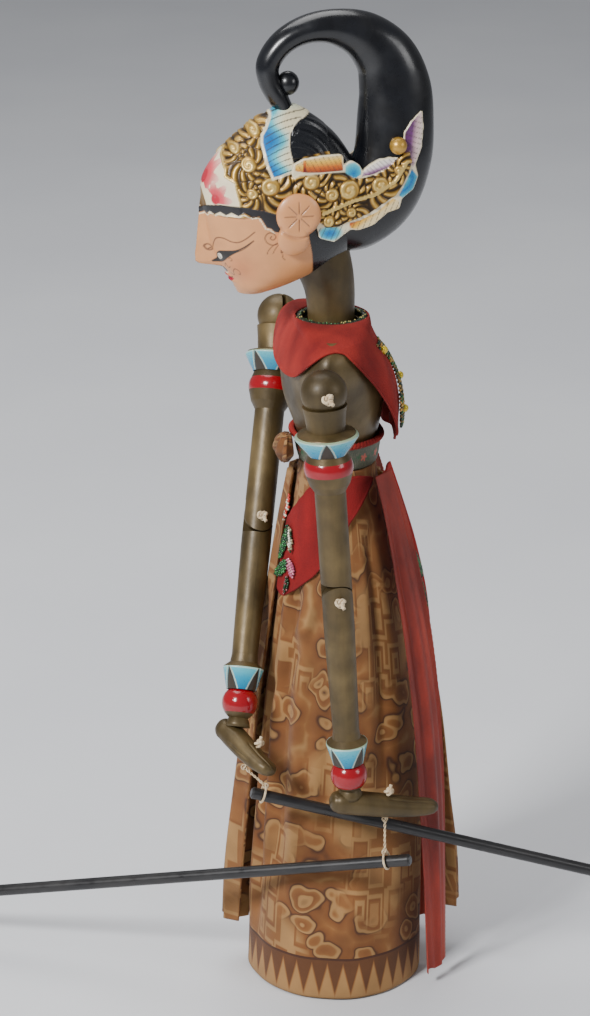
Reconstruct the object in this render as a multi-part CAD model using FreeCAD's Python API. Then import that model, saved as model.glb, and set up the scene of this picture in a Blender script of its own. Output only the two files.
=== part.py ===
import FreeCAD, Part
import math
import os
from FreeCAD import Matrix, Rotation, Vector

# Carved wooden rod puppet. Millimetres, +Z up. Origin: centre of the stand's underside.
# The puppet faces -Y; its own left side is +X.

os.makedirs("parts", exist_ok=True)

# ---- driving dimensions ----
RUNNING = 0.05                  # radial clearance of a shaft in its hole
GAP = 0.3                       # space kept between pieces that only lie against each other
CLOTH = 1.6                     # thickness of a cloth piece

STAND_R, STAND_H = 40.0, 20.0
SOCKET_R, SOCKET_TOP, SOCKET_FLOOR = 16.0, 50.0, 6.0
HANDLE_R, ROD_R = 9.0, 6.0      # central rod: grip below, spindle above
SHOULDER_STEP_Z = 305.0         # step on the rod that carries the body
ROD_TOP_Z = 505.0
NECK_R, NECK_Z = 14.6, 423.0
NECK_SOCKET_R, NECK_SOCKET_Z = 17.0, 412.0
TORSO_TOP_Z = 438.0

BELT_Z = (350.0, 368.0)

SHOULDER = Vector(83.0, -19.0, 418.0)       # left shoulder's centre; the right one mirrors it
UPPER_L, FORE_L = 131.0, 129.0              # shoulder to elbow, elbow to the end of the wrist ball
ARM_R = 9.5
RIGHT_SWING, RIGHT_ACROSS = 11.21, 25.62    # degrees: the right arm lies forward and across
LEFT_SWING_BACK = 3.6                       # degrees: the left arm hangs a little back
CORD_R = 1.2                                # shoulder and elbow cords

ARM_ROD_R, ARM_ROD_L = 3.75, 470.0
RING_R, RING_WIRE = 5.5, 0.7                # cord ring on a rod, and the thickness of its cord
EYE_R = 1.6                                 # small end loops of a string
EYE_WIRE = 0.5
RING_LIFT = RING_R - (ARM_ROD_R + RUNNING + RING_WIRE)
PIVOT_LIFT = RING_LIFT + RING_R             # string pivot above a rod's axis

LEFT_ROD_NEAR = Vector(90.8, 34.6, 111.0)
LEFT_ROD_FAR = Vector(-130.8, -365.0, ARM_ROD_R)
RIGHT_ROD_NEAR = Vector(58.0, -61.0, 150.0)
RIGHT_ROD_FAR = Vector(58.0, 385.6, ARM_ROD_R)
STRING_FROM_END = (16.0, 7.5)               # ring to the rod's near end: left, right

LEFT_FINGERS = Vector(0.0, 0.990, -0.140)
RIGHT_FINGERS = Vector(0.826, 0.459, -0.324)
HAND_L = (57.0, 44.0)                       # wrist axis to fingertips: left, right
STRING_AT = (25.0, 24.0)                    # wrist axis to the string, along the fingers

X, Y, Z = Vector(1, 0, 0), Vector(0, 1, 0), Vector(0, 0, 1)


# ---- small helpers ----
def save(shape, node):
    shape.exportStep("parts/" + node + ".step")
    print(node, "solids", len(shape.Solids), "valid", shape.isValid(), "volume", round(shape.Volume))


def closed_wire(points):
    curve = Part.BSplineCurve()
    curve.interpolate(Points=points, PeriodicFlag=True)
    return Part.Wire([curve.toShape()])


def oval(z, cy, rx, ry, grow=0.0, bend=0.0, cx=0.0, folds=0, depth=0.0, count=20):
    """Closed outline at height z; bend pushes its ends forward, folds makes it wavy."""
    points = []
    for i in range(count):
        turn = 2 * math.pi * i / count
        wave = depth * math.cos(folds * turn) if folds else 0.0
        side = math.cos(turn)
        x = cx + (rx + grow + wave) * side
        y = cy + (ry + grow + wave) * math.sin(turn) - bend * side * side
        points.append(Vector(x, y, z))
    return closed_wire(points)


def loft(wires, ruled=False):
    return Part.makeLoft(wires, True, ruled)


def rod_between(start, end, radius):
    along = end - start
    return Part.makeCylinder(radius, along.Length, start, along)


def ball(centre, radius):
    return Part.makeSphere(radius, centre)


def box(low, high):
    size = Vector(*high) - Vector(*low)
    return Part.makeBox(size.x, size.y, size.z, Vector(*low))


def torus(centre, normal, major, minor):
    return Part.makeTorus(major, minor, centre, normal)


def fuse(first, *others):
    whole = first
    for other in others:
        whole = whole.fuse(other)
    return whole.removeSplitter()


def turned(profile):
    """Solid of revolution about Z through (radius, height) points."""
    points = [Vector(r, 0, z) for r, z in profile]
    edges = [Part.LineSegment(a, b).toShape() for a, b in zip(points, points[1:])]
    edges.append(Part.LineSegment(points[-1], points[0]).toShape())
    return Part.Face(Part.Wire(edges)).revolve(Vector(0, 0, 0), Z, 360)


def prism(outline, direction):
    """Straight bar whose cross-section is the closed polygon outline."""
    face = Part.Face(Part.makePolygon(outline + [outline[0]]))
    return face.extrude(direction)


def frame_matrix(x_axis, y_axis, z_axis, origin):
    return Matrix(x_axis.x, y_axis.x, z_axis.x, origin.x,
                  x_axis.y, y_axis.y, z_axis.y, origin.y,
                  x_axis.z, y_axis.z, z_axis.z, origin.z,
                  0, 0, 0, 1)


# ---- body and skirt surfaces: height, centre y, half width, half depth, forward bend ----
TORSO_STATIONS = [
    (305, 4.0, 29.0, 21.0, 0), (335, 4.0, 30.0, 21.5, 0), (355, 4.0, 30.0, 22.5, 0),
    (375, 3.0, 38.0, 27.0, 1), (393, 1.5, 48.0, 31.0, 4), (408, 1.0, 57.0, 31.0, 8),
    (420, 0.5, 63.0, 28.0, 11), (430, 0.5, 62.0, 23.0, 11), (TORSO_TOP_Z, 1.0, 50.0, 19.0, 8),
]
SARONG_STATIONS = [
    (349.6, 4.0, 30.2, 22.3), (335, 4.0, 31.5, 24.0), (300, 5.0, 36.0, 31.0), (240, 7.0, 41.0, 41.0),
    (180, 7.0, 45.0, 48.0), (120, 6.0, 48.5, 51.5), (60, 4.0, 53.5, 54.0), (1.0, 2.0, 60.0, 55.0),
]


def torso_surface(grow=0.0):
    return loft([oval(z, cy, rx, ry, grow, bend) for z, cy, rx, ry, bend in TORSO_STATIONS])


def sarong_surface(grow=0.0, spill=0.0):
    """Skirt surface grown outwards; spill lengthens both ends so that a cut passes through."""
    stations = list(SARONG_STATIONS)
    wires = [oval(z, cy, rx, ry, grow) for z, cy, rx, ry in stations]
    if spill:
        z, cy, rx, ry = stations[0]
        wires.insert(0, oval(z + spill, cy, rx, ry, grow))
        z, cy, rx, ry = stations[-1]
        wires.append(oval(z - spill, cy, rx, ry, grow))
    return loft(wires)


def skirt_patch(outline, direction, inner, outer):
    """Piece of cloth lying on the skirt, cut to the outline seen along direction."""
    shell = sarong_surface(outer, 2.0).cut(sarong_surface(inner, 4.0))
    return shell.common(prism(outline, direction))


# ---- stand and central rod ----
def make_stand():
    body = turned([(0, 0), (STAND_R, 0), (STAND_R, STAND_H - 4), (STAND_R - 4, STAND_H),
                   (SOCKET_R + 3, STAND_H), (SOCKET_R, STAND_H + 4), (SOCKET_R, SOCKET_TOP - 2),
                   (SOCKET_R - 2, SOCKET_TOP), (0, SOCKET_TOP)])
    hole = Part.makeCylinder(HANDLE_R + RUNNING, SOCKET_TOP, Vector(0, 0, SOCKET_FLOOR))
    return body.cut(hole)


def make_central_rod():
    return turned([(0, SOCKET_FLOOR), (HANDLE_R - 1, SOCKET_FLOOR), (HANDLE_R, SOCKET_FLOOR + 1),
                   (HANDLE_R, SHOULDER_STEP_Z), (ROD_R, SHOULDER_STEP_Z), (ROD_R, ROD_TOP_Z - 2),
                   (ROD_R - 2, ROD_TOP_Z), (0, ROD_TOP_Z)])


# ---- head ----
HEAD_STATIONS = [
    (459, -50, 8, 8), (463, -45, 14, 15), (470, -38, 20, 25), (478, -33, 24, 36),
    (490, -30, 27, 45), (505, -30, 28.5, 47.5), (520, -31, 28.5, 48.5), (532, -31, 28, 47.5),
    (545, -30, 24, 40), (558, -28, 17, 28), (569, -27, 9, 13), (574, -27, 3, 4),
]
NOSE_OUTLINE = [(-60, 520), (-80.5, 517), (-83.5, 482), (-81, 477.5), (-66, 477.5), (-60, 490)]
NOSE_HALF_WIDTH = 5.0
EAR_CENTRE, EAR_R = Vector(0, -25.0, 513.0), 13.5


def make_ear(side):
    disc = Part.makeCylinder(EAR_R, 12, Vector(side * 22, EAR_CENTRE.y, EAR_CENTRE.z), X * side)
    lobe = Part.makeCylinder(8.0, 11, Vector(side * 22, EAR_CENTRE.y - 5, EAR_CENTRE.z - 15), X * side)
    return disc.fuse(lobe)


def make_neck(grow=0.0):
    stations = [(NECK_Z, 0, 0, 0), (445, 0, 0, 0), (458, -1, 1, 1), (470, -4, 3, 3), (490, -10, 4, 5)]
    return loft([oval(z, cy, NECK_R + wide, NECK_R + deep, grow) for z, cy, wide, deep in stations])


def make_head():
    skull = loft([oval(z, cy, rx, ry) for z, cy, rx, ry in HEAD_STATIONS])
    nose_points = [Vector(-NOSE_HALF_WIDTH, y, z) for y, z in NOSE_OUTLINE]
    nose = prism(nose_points, X * 2 * NOSE_HALF_WIDTH)
    head = fuse(skull, make_neck(), nose, make_ear(1), make_ear(-1))
    return head.cut(Part.makeCylinder(ROD_R + RUNNING, ROD_TOP_Z - NECK_Z + 5, Vector(0, 0, NECK_Z - 5)))


# Hair roll: centre y, z, half thickness in the side view, half width across, from nape to curled tip
CREST_PATH = [
    (2.0, 497.5, 16.5, 17.0), (17.0, 503.5, 20.5, 20.0), (31.0, 518.0, 23.0, 21.0),
    (38.0, 540.0, 24.0, 20.0), (39.5, 562.0, 23.5, 18.0), (39.0, 582.0, 22.0, 16.0),
    (33.0, 600.5, 19.0, 14.0), (19.5, 614.0, 15.0, 12.5), (2.0, 620.0, 10.8, 11.0),
    (-15.0, 619.0, 8.6, 10.5), (-29.5, 611.5, 7.6, 9.5), (-38.0, 599.5, 7.2, 9.0),
    (-37.5, 587.5, 6.0, 8.0),
]
CREST_CURL = Vector(0, -28.5, 584.0)
CREST_CURL_R = 7.8


def make_crest():
    wires = []
    for i, (y, z, thick, wide) in enumerate(CREST_PATH):
        before = CREST_PATH[max(i - 1, 0)]
        after = CREST_PATH[min(i + 1, len(CREST_PATH) - 1)]
        along = Vector(0, after[0] - before[0], after[1] - before[1]).normalize()
        out = X.cross(along)
        points = []
        for k in range(12):
            turn = 2 * math.pi * k / 12
            points.append(Vector(0, y, z) + X * wide * math.cos(turn) + out * thick * math.sin(turn))
        wires.append(closed_wire(points))
    roll = fuse(loft(wires), ball(CREST_CURL, CREST_CURL_R))
    return roll.cut(make_head_blank())


def make_head_blank():
    """Skull and neck a touch larger, to seat the pieces that are fixed on them."""
    skull = loft([oval(z, cy, rx, ry, 0.1) for z, cy, rx, ry in HEAD_STATIONS])
    return skull.fuse(make_neck(0.1))


WING_LEAN = 9.0                             # degrees the wing leans in towards the hair


def make_wing(side):
    """Gilded carved wing that starts over the ear and runs back along the side of the hair."""
    outline = [(-30, 530), (-12, 536), (6, 540), (22, 552), (31, 549), (27, 538), (17, 522),
               (8, 508), (-2, 500), (-9, 503), (-11, 520)]
    points = [Vector(side * 29.2, y, z) for y, z in outline]
    wing = prism(points, X * side * 4.0)
    wing.rotate(Vector(side * 29.2, -12, 0), Z, side * WING_LEAN)
    ear_room = Part.makeCylinder(EAR_R + GAP, 40, Vector(side * 10, EAR_CENTRE.y, EAR_CENTRE.z), X * side)
    return wing.cut(ear_room)


# ---- torso and what is sewn round it ----
def make_torso():
    body = torso_surface()
    bore = Part.makeCylinder(ROD_R + RUNNING, 200, Vector(0, 0, SHOULDER_STEP_Z - 5))
    neck_socket = Part.makeCylinder(NECK_SOCKET_R, 60, Vector(0, 0, NECK_SOCKET_Z))
    body = body.cut(bore).cut(neck_socket)
    for side in (1, -1):
        start = Vector(side * (SHOULDER.x - 33), SHOULDER.y, SHOULDER.z)
        body = body.cut(Part.makeCylinder(CORD_R + RUNNING, 30, start, X * side))
    return body


def make_vest():
    """Sleeveless vest: two panels joined by straps over the shoulders, open at the sides."""
    shell = torso_surface(GAP + 1.8).cut(torso_surface(GAP))
    shell = shell.common(box((-80, -60, BELT_Z[1] + 0.5), (80, 60, TORSO_TOP_Z - 3)))
    for side in (1, -1):
        shell = shell.cut(Part.makeCylinder(17, 40, Vector(side * 42, -14, 413), X * side))
        shell = shell.cut(box((min(side * 34, side * 80), -13, 360), (max(side * 34, side * 80), 12, 413)))
    return shell.cut(Part.makeCylinder(23, 30, Vector(0, 0, 424)))


def make_neck_trim():
    """Braid lying round the neck on the wooden shoulders."""
    return Part.makeTorus(20.0, 1.6, Vector(0, 0.5, TORSO_TOP_Z + 1.9))


def make_band(low, high, inner, outer):
    shell = torso_surface(outer).cut(torso_surface(inner))
    return shell.common(box((-80, -60, low), (80, 60, high)))


# ---- hand ----
HAND_STATIONS = [(-0.19, 4.5, 3.5), (-0.13, 7.0, 6.0), (0.08, 8.0, 7.0), (0.45, 8.0, 7.0),
                 (0.75, 7.4, 6.0), (0.92, 6.0, 4.8), (1.0, 3.5, 3.0)]
HAND_H = 7.0
PIVOT_DROP = 2.6                            # string pivot below the palm
WRIST_BALL_R, WRIST_BALL_UP = 11.0, 10.0
PEG_R, PEG_L = 3.5, 14.0


def hand_axes(fingers, arm_up):
    """Unit finger direction, sideways direction and the hand's own up direction."""
    along = Vector(fingers).normalize()
    up = (arm_up - along * arm_up.dot(along)).normalize()
    return along, up.cross(along), up


def hand_drop(arm_up, up):
    """Distance from the wrist centre down to the back of the hand, clear of the wrist ball."""
    return WRIST_BALL_R + GAP + 0.1 - WRIST_BALL_UP * arm_up.dot(up)


def string_top(wrist, fingers, arm_up, reach):
    """Pivot of the string under the hand."""
    along, _, up = hand_axes(fingers, arm_up)
    return wrist + along * reach - up * (hand_drop(arm_up, up) + 2 * HAND_H + PIVOT_DROP)


def make_hand(wrist, fingers, arm_up, length, reach):
    along, across, up = hand_axes(fingers, arm_up)
    top = wrist - up * hand_drop(arm_up, up)
    wires = []
    for share, wide, high in HAND_STATIONS:
        centre = top + along * share * length - up * HAND_H
        points = []
        for k in range(12):
            turn = 2 * math.pi * k / 12
            points.append(centre + across * wide * math.cos(turn) + up * high * math.sin(turn))
        wires.append(closed_wire(points))
    peg = rod_between(wrist - arm_up * 6.0, wrist + arm_up * PEG_L, PEG_R)
    hand = fuse(loft(wires), peg)
    hole_top = wrist + along * reach
    return hand.cut(rod_between(hole_top + up * 5, hole_top - up * 40, CORD_R - 0.4 + RUNNING))


def make_hand_cord(wrist, fingers, arm_up, reach):
    """Short cord through the hand: knot on the back, ring underneath."""
    along, _, up = hand_axes(fingers, arm_up)
    drop = hand_drop(arm_up, up)
    back = wrist + along * reach - up * (drop - 2.2)
    pivot = string_top(wrist, fingers, arm_up, reach)
    ring_centre = pivot + up * 1.5
    knot = ball(back, 2.4)
    stem = rod_between(back, ring_centre + up * 1.2, CORD_R - 0.4)
    return fuse(knot, stem, torus(ring_centre, X.cross(up), 1.5, EYE_WIRE))


# ---- arms, built hanging straight down from the shoulder at the origin ----
def make_upper_arm_blank():
    cup_top, ball_z, ball_r = -26.0, -47.0, 14.5
    bone = turned([(0, -UPPER_L - 12), (ARM_R, -UPPER_L - 12), (ARM_R, -62), (12.5, -57), (ball_r, -50),
                   (ball_r, -44), (12.0, -37), (18.5, cup_top - 1), (17.5, cup_top + 1), (11.5, cup_top + 3),
                   (12.5, -14), (13.5, -8), (0, -8)])
    return bone.fuse(ball(Vector(0, 0, 0), 14.0)).removeSplitter()


def make_forearm_blank():
    ball_z = -FORE_L + WRIST_BALL_UP
    shaft = turned([(0, 12), (ARM_R, 12), (ARM_R, -20), (8.2, -88), (8.8, -93), (12.5, -96), (12.3, -98),
                    (8.2, ball_z + 9.5), (0, ball_z + 9.5)])
    ball_end = ball(Vector(0, 0, ball_z), WRIST_BALL_R)
    flat = box((-20, -20, -FORE_L - 20), (20, 20, -FORE_L))
    peg_hole = Part.makeCylinder(PEG_R + RUNNING, PEG_L + 1, Vector(0, 0, -FORE_L))
    return shaft.fuse(ball_end).removeSplitter().cut(flat).cut(peg_hole)


LAP = GAP / 2
ELBOW_TOP = 10.3                 # clearance radius round the elbow's rounded tongues


def outer_half(side, low, high):
    return box((min(LAP * side, side * 40), -40, low), (max(LAP * side, side * 40), 40, high))


def bend_room(side, low, high):
    """Space in front of the elbow, so that the arm folds forward."""
    return box((min(LAP * side, side * 40), -40, low), (max(LAP * side, side * 40), 0, high))


def make_upper_arm(side):
    """The inner half of its end laps the forearm; the outer half stops above the elbow."""
    blank = make_upper_arm_blank()
    elbow = Vector(0, 0, -UPPER_L)
    outside = outer_half(side, -UPPER_L - 30, -UPPER_L)
    outside = outside.fuse(Part.makeCylinder(ELBOW_TOP, 40, Vector(side * LAP, 0, -UPPER_L), X * side))
    outside = outside.fuse(bend_room(side, -UPPER_L - 30, -UPPER_L + ELBOW_TOP))
    inside = outer_half(-side, -UPPER_L - 30, -UPPER_L)
    tongue = Part.makeCylinder(ARM_R, 40, Vector(-side * LAP, 0, -UPPER_L), X * -side)
    gap_slab = box((-LAP, -40, -UPPER_L - 30), (LAP, 40, -UPPER_L + ELBOW_TOP))
    arm = blank.cut(outside).cut(inside.cut(tongue)).cut(gap_slab)
    arm = arm.cut(Part.makeCylinder(CORD_R + RUNNING, 60, elbow - X * 30, X))
    shoulder_hole = Part.makeCylinder(CORD_R + RUNNING, 30, Vector(0, 0, 0), X * side)
    arm = arm.cut(shoulder_hole).cut(ball(Vector(0, 0, 0), 2.6))
    slot_depth = 20.0
    slot = [Vector(0, -1.35, 0)]
    for degrees in (-28, 10, 45, 84):
        turn = math.radians(degrees)
        slot.append(Vector(-side * slot_depth * math.cos(turn), -1.35, slot_depth * math.sin(turn)))
    groove = prism(slot, Y * 2.7)
    for degrees in (-28, 84):
        turn = math.radians(degrees)
        along = Vector(-side * math.cos(turn), 0, math.sin(turn))
        groove = groove.fuse(Part.makeCylinder(1.35, slot_depth, Vector(0, 0, 0), along))
    return arm.cut(groove)


def make_forearm(side):
    blank = make_forearm_blank()
    reach_cut = Part.makeCylinder(ELBOW_TOP, 40, Vector(-side * LAP, 0, 0), X * -side)
    reach_cut = reach_cut.fuse(bend_room(-side, -ELBOW_TOP, 30))
    keep = outer_half(side, 0, 30)
    tongue = Part.makeCylinder(ARM_R, 40, Vector(side * LAP, 0, 0), X * side)
    upper_inside = outer_half(-side, 0, 30)
    arm = blank.cut(upper_inside).cut(reach_cut).cut(keep.cut(tongue))
    arm = arm.cut(box((-LAP, -40, -ELBOW_TOP), (LAP, 40, 30)))
    return arm.cut(Part.makeCylinder(CORD_R + RUNNING, 60, Vector(-30, 0, 0), X))


def make_elbow_cord(side):
    """Cord that pins the elbow, knotted at both ends."""
    half = ARM_R + 1.0
    pin = Part.makeCylinder(CORD_R, 2 * half, Vector(-half, 0, 0), X)
    return fuse(pin, ball(X * (half + 1.6), 2.6), ball(X * -(half + 1.6), 2.6))


def make_shoulder_cord(side):
    """From the torso's hole to a knot held inside the ball of the shoulder."""
    reach = Part.makeCylinder(CORD_R, 32, Vector(0, 0, 0), X * -side)
    return fuse(reach, ball(Vector(0, 0, 0), 2.3))


def make_shoulder_knot(side):
    stem = Part.makeCylinder(CORD_R, 10.5, Vector(side * 5, 0, 0), X * side)
    return fuse(stem, ball(Vector(side * 16.8, 0, 0), 3.2), ball(Vector(side * 17.6, -2.4, -1.6), 2.0))


def arm_turn(side):
    """Rotation that takes the hanging arm to where it lies at rest."""
    if side > 0:
        return Rotation(X, LEFT_SWING_BACK)
    return Rotation(X, -RIGHT_SWING).multiply(Rotation(Y, -RIGHT_ACROSS))


def placed(shape, rotation, origin):
    moved = shape.copy()
    moved.Placement = FreeCAD.Placement(origin, rotation)
    return moved


def rod_ring_centre(near, far, distance):
    along = (far - near).normalize()
    centre = near + along * distance
    level = along.cross(Z).normalize()
    lift = level.cross(along)
    return centre, along, lift


def make_arm_rod(near, far):
    tip = 1.2
    along = (far - near).normalize()
    shaft = rod_between(near + along * tip, far - along * tip, ARM_ROD_R)
    nose = Part.makeCone(ARM_ROD_R - tip, ARM_ROD_R, tip, near, along)
    tail = Part.makeCone(ARM_ROD_R, ARM_ROD_R - tip, tip, far - along * tip, along)
    return fuse(shaft, nose, tail)


def make_string(top, bottom):
    along = (bottom - top).normalize()
    line = rod_between(top + along * (EYE_R + 0.2), bottom - along * (EYE_R + 0.2), 0.7)
    return fuse(line, torus(top, X, EYE_R, EYE_WIRE), torus(bottom, X, EYE_R, EYE_WIRE))


def make_arm(name, side, near, far, fingers, hand_length, reach, ring_distance):
    shoulder = Vector(side * SHOULDER.x, SHOULDER.y, SHOULDER.z)
    turn = arm_turn(side)
    elbow = shoulder + turn.multVec(Z * -UPPER_L)
    wrist = shoulder + turn.multVec(Z * -(UPPER_L + FORE_L))
    arm_up = turn.multVec(Z)
    save(placed(make_shoulder_cord(side), Rotation(), shoulder), "shoulder_cord_" + name)
    save(placed(make_shoulder_knot(side), turn, shoulder), "shoulder_knot_" + name)
    save(placed(make_upper_arm(side), turn, shoulder), "upper_arm_" + name)
    save(placed(make_elbow_cord(side), turn, elbow), "elbow_cord_" + name)
    save(placed(make_forearm(side), turn, elbow), "forearm_" + name)
    save(make_hand(wrist, fingers, arm_up, hand_length, reach), "hand_" + name)
    save(make_hand_cord(wrist, fingers, arm_up, reach), "hand_cord_" + name)
    centre, along, lift = rod_ring_centre(near, far, ring_distance)
    save(make_arm_rod(near, far), "arm_rod_" + name)
    save(torus(centre + lift * RING_LIFT, along, RING_R, RING_WIRE), "rod_ring_" + name)
    top = string_top(wrist, fingers, arm_up, reach)
    bottom = centre + lift * PIVOT_LIFT
    save(make_string(top, bottom), "rod_string_" + name)
    print("  ", name, "elbow", elbow, "wrist", wrist, "string", top, bottom, "arm", arm_up)


# ---- skirt and hanging cloths ----
def make_sarong():
    return sarong_surface(CLOTH).cut(sarong_surface(0.0, 4.0))


def hanging_cloth(stations):
    """Closed solid of a gathered cloth end: centre x, y, z, half width, half thickness, turn."""
    wires = []
    for cx, cy, z, wide, thick, degrees in stations:
        turn = math.radians(degrees)
        across = Vector(math.cos(turn), math.sin(turn), 0)
        through = Vector(-math.sin(turn), math.cos(turn), 0)
        points = []
        for k in range(14):
            angle = 2 * math.pi * k / 14
            points.append(Vector(cx, cy, z) + across * wide * math.cos(angle)
                          + through * thick * math.sin(angle))
        wires.append(closed_wire(points))
    return loft(wires)


WRAP_FRONT = [(-14, -21.6, 340, 14, 2.0, -16), (-14, -28.6, 300, 16, 2.4, -16), (-16, -37.0, 240, 18, 3.0, -16),
              (-17, -45.4, 180, 20, 4.2, -17), (-18, -51.6, 120, 20, 5.5, -18), (-17, -57.5, 70, 17, 6.0, -16),
              (-15, -61.5, 30, 11, 5.0, -12)]
WRAP_BACK = [(-15, 30.5, 335, 12, 2.0, 14), (-15, 39.5, 300, 15, 2.6, 14), (-14, 53.5, 240, 19, 3.6, 12),
             (-13, 63.5, 180, 22, 4.6, 10), (-11, 69.5, 120, 24, 5.4, 8), (-9, 75.0, 70, 24, 5.6, 6),
             (-8, 79.0, 34, 16, 4.4, 4)]
BUNCH = [(-14, -27.0, 343, 3, 2.6, 0), (-10, -28.4, 349, 14, 4.6, 0), (0, -30.2, 356, 19, 6.0, 0),
         (6, -30.4, 363, 14, 5.2, 0), (9, -29.2, 369, 5, 2.6, 0)]
BACK_FLAP = [(18, 31.5, 346, 13, 0.9, -24), (18, 38.0, 322, 16, 0.9, -24), (19, 46.0, 292, 17, 1.0, -24),
             (20, 53.5, 264, 12, 1.0, -22), (21, 58.0, 243, 3.5, 0.9, -20)]
RIBBON = [(33, 29.0, 348), (37, 36.0, 320), (41.5, 43.5, 280), (44.0, 50.0, 240), (44.5, 56.0, 190),
          (44.0, 60.0, 140), (43.0, 62.5, 90), (42.0, 64.0, 45), (41.0, 65.0, 9)]
RIBBON_W = 20.0


def make_ribbon(side):
    wires = []
    for i, (x, y, z) in enumerate(RIBBON):
        turn = math.radians(-42 + 12 * i / (len(RIBBON) - 1))
        across = Vector(math.cos(turn) * side, math.sin(turn), 0) * (RIBBON_W / 2)
        through = Vector(-math.sin(turn) * side, math.cos(turn), 0) * 0.7
        centre = Vector(side * x, y, z)
        corners = [centre + across + through, centre - across + through,
                   centre - across - through, centre + across - through]
        wires.append(Part.makePolygon(corners + [corners[0]]))
    return loft(wires)


HIP_OUTLINE = [(-24, 344), (22, 344), (16, 322), (8, 306), (-8, 262), (-20, 268), (-34, 300), (-33, 318)]


def make_hip_cloth():
    """Velvet apron piece lying on the left front of the hip."""
    outline = [Vector(0.5, y, z) for y, z in HIP_OUTLINE]
    return skirt_patch(outline, X * 90, CLOTH + GAP, 2 * CLOTH + GAP)


def between(stations, z, column):
    """A station column read at height z, straight between its neighbours."""
    ordered = sorted(stations)
    for low, high in zip(ordered, ordered[1:]):
        if low[0] <= z <= high[0]:
            share = (z - low[0]) / (high[0] - low[0])
            return low[column] + share * (high[column] - low[column])
    return ordered[-1][column]


def beads_on(places, radius):
    return Part.makeCompound([ball(place, radius) for place in places])


def make_back_beads():
    """Row of beads sewn down the vest's back panel."""
    radius, places = 2.1, []
    for i in range(9):
        z = 378 + i * 5.4
        x = 8 + 5 * math.sin(i * 0.7)
        depth = between(TORSO_STATIONS, z, 3) + GAP + 1.8 + radius + 0.6
        y = between(TORSO_STATIONS, z, 1) + depth * math.sqrt(1 - (x / between(TORSO_STATIONS, z, 2)) ** 2)
        places.append(Vector(x, y, z))
    return beads_on(places, radius)


def make_hip_beads():
    """Leaf-shaped bead cluster's backing row on the hip cloth."""
    radius, places = 2.0, []
    for i in range(6):
        y, z = -24 + 3.0 * i, 316 - 6.2 * i
        rise = 2 * CLOTH + GAP + radius + 0.8
        share = (y - between(SARONG_STATIONS, z, 1)) / (between(SARONG_STATIONS, z, 3) + rise)
        places.append(Vector((between(SARONG_STATIONS, z, 2) + rise) * math.sqrt(1 - share ** 2), y, z))
    return beads_on(places, radius)


def make_flap_beads():
    """Bead row on the outer face of the back flap."""
    radius, places = 2.2, []
    for i in range(7):
        z = 322 - 8 * i
        y = 38.0 + (322 - z) * 0.262 + 4.0
        places.append(Vector(20, y, z))
    return beads_on(places, radius)


save(make_stand(), "stand_base")
save(make_central_rod(), "central_rod")
save(make_head(), "head")
save(make_crest(), "hair_crest")
save(make_wing(1), "wing_left")
save(make_wing(-1), "wing_right")
save(make_torso(), "torso")
save(make_vest(), "vest")
save(make_neck_trim(), "neck_trim")
save(make_back_beads(), "back_beads")
save(make_band(BELT_Z[0], BELT_Z[1] - 3, GAP, 3.0), "waist_belt")
save(make_band(BELT_Z[1] - 3, BELT_Z[1], GAP, 4.2), "belt_piping")
save(make_sarong(), "sarong")
save(hanging_cloth(BUNCH), "waist_bunch")
save(hanging_cloth(WRAP_FRONT), "wrap_front_end")
save(hanging_cloth(WRAP_BACK), "wrap_back_end")
save(make_hip_cloth(), "hip_cloth")
save(hanging_cloth(BACK_FLAP), "back_flap")
save(make_ribbon(1), "ribbon_left")
save(make_ribbon(-1), "ribbon_right")
save(make_hip_beads(), "hip_beads")
save(make_flap_beads(), "flap_beads")
make_arm("left", 1, LEFT_ROD_NEAR, LEFT_ROD_FAR, LEFT_FINGERS, HAND_L[0], STRING_AT[0], STRING_FROM_END[0])
make_arm("right", -1, RIGHT_ROD_NEAR, RIGHT_ROD_FAR, RIGHT_FINGERS, HAND_L[1], STRING_AT[1], STRING_FROM_END[1])
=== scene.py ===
"""Looks of the wayang golek rod puppet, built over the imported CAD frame.

Shapes are worked out in millimetres in the row frame and turned into metres when a piece is added.
"""

import math

import bmesh
import bpy
import numpy as np
from mathutils import Matrix, Vector


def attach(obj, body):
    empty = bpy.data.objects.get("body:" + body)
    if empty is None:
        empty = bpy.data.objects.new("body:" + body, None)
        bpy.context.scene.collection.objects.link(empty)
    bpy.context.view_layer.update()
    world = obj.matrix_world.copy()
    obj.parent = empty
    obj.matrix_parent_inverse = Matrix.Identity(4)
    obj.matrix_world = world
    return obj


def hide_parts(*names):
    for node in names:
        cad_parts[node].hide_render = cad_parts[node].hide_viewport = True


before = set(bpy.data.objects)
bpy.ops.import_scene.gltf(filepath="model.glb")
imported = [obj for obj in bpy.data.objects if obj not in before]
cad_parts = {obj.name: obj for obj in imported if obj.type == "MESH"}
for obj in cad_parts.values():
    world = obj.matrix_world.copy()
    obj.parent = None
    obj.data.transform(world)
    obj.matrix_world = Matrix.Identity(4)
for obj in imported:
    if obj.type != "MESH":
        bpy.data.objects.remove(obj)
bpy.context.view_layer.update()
MM = 0.001
NECK_R = 14.6
NECK_HOLE_R, NECK_HOLE_Z = 22.5, 441.0
VEST_GAP = 2.5
TOOTH_PITCH, TOOTH_LIFT, BORDER_TOP = 9.4, 25.0, 27.0
BRAID_R, BRAID_Y, BRAID_Z = 20, 0.5, 440.1
HALF_WIDTH, HALF_DEPTH = 28.5, 48
rng = np.random.default_rng(7)
scene = bpy.context.scene


# ---- camera, lights and floor ----
def aim(obj, place, target=(0, 0, 0.3)):
    obj.location = place
    obj.rotation_euler = (Vector(target) - Vector(place)).to_track_quat("-Z", "Y").to_euler()
    scene.collection.objects.link(obj)


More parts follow.
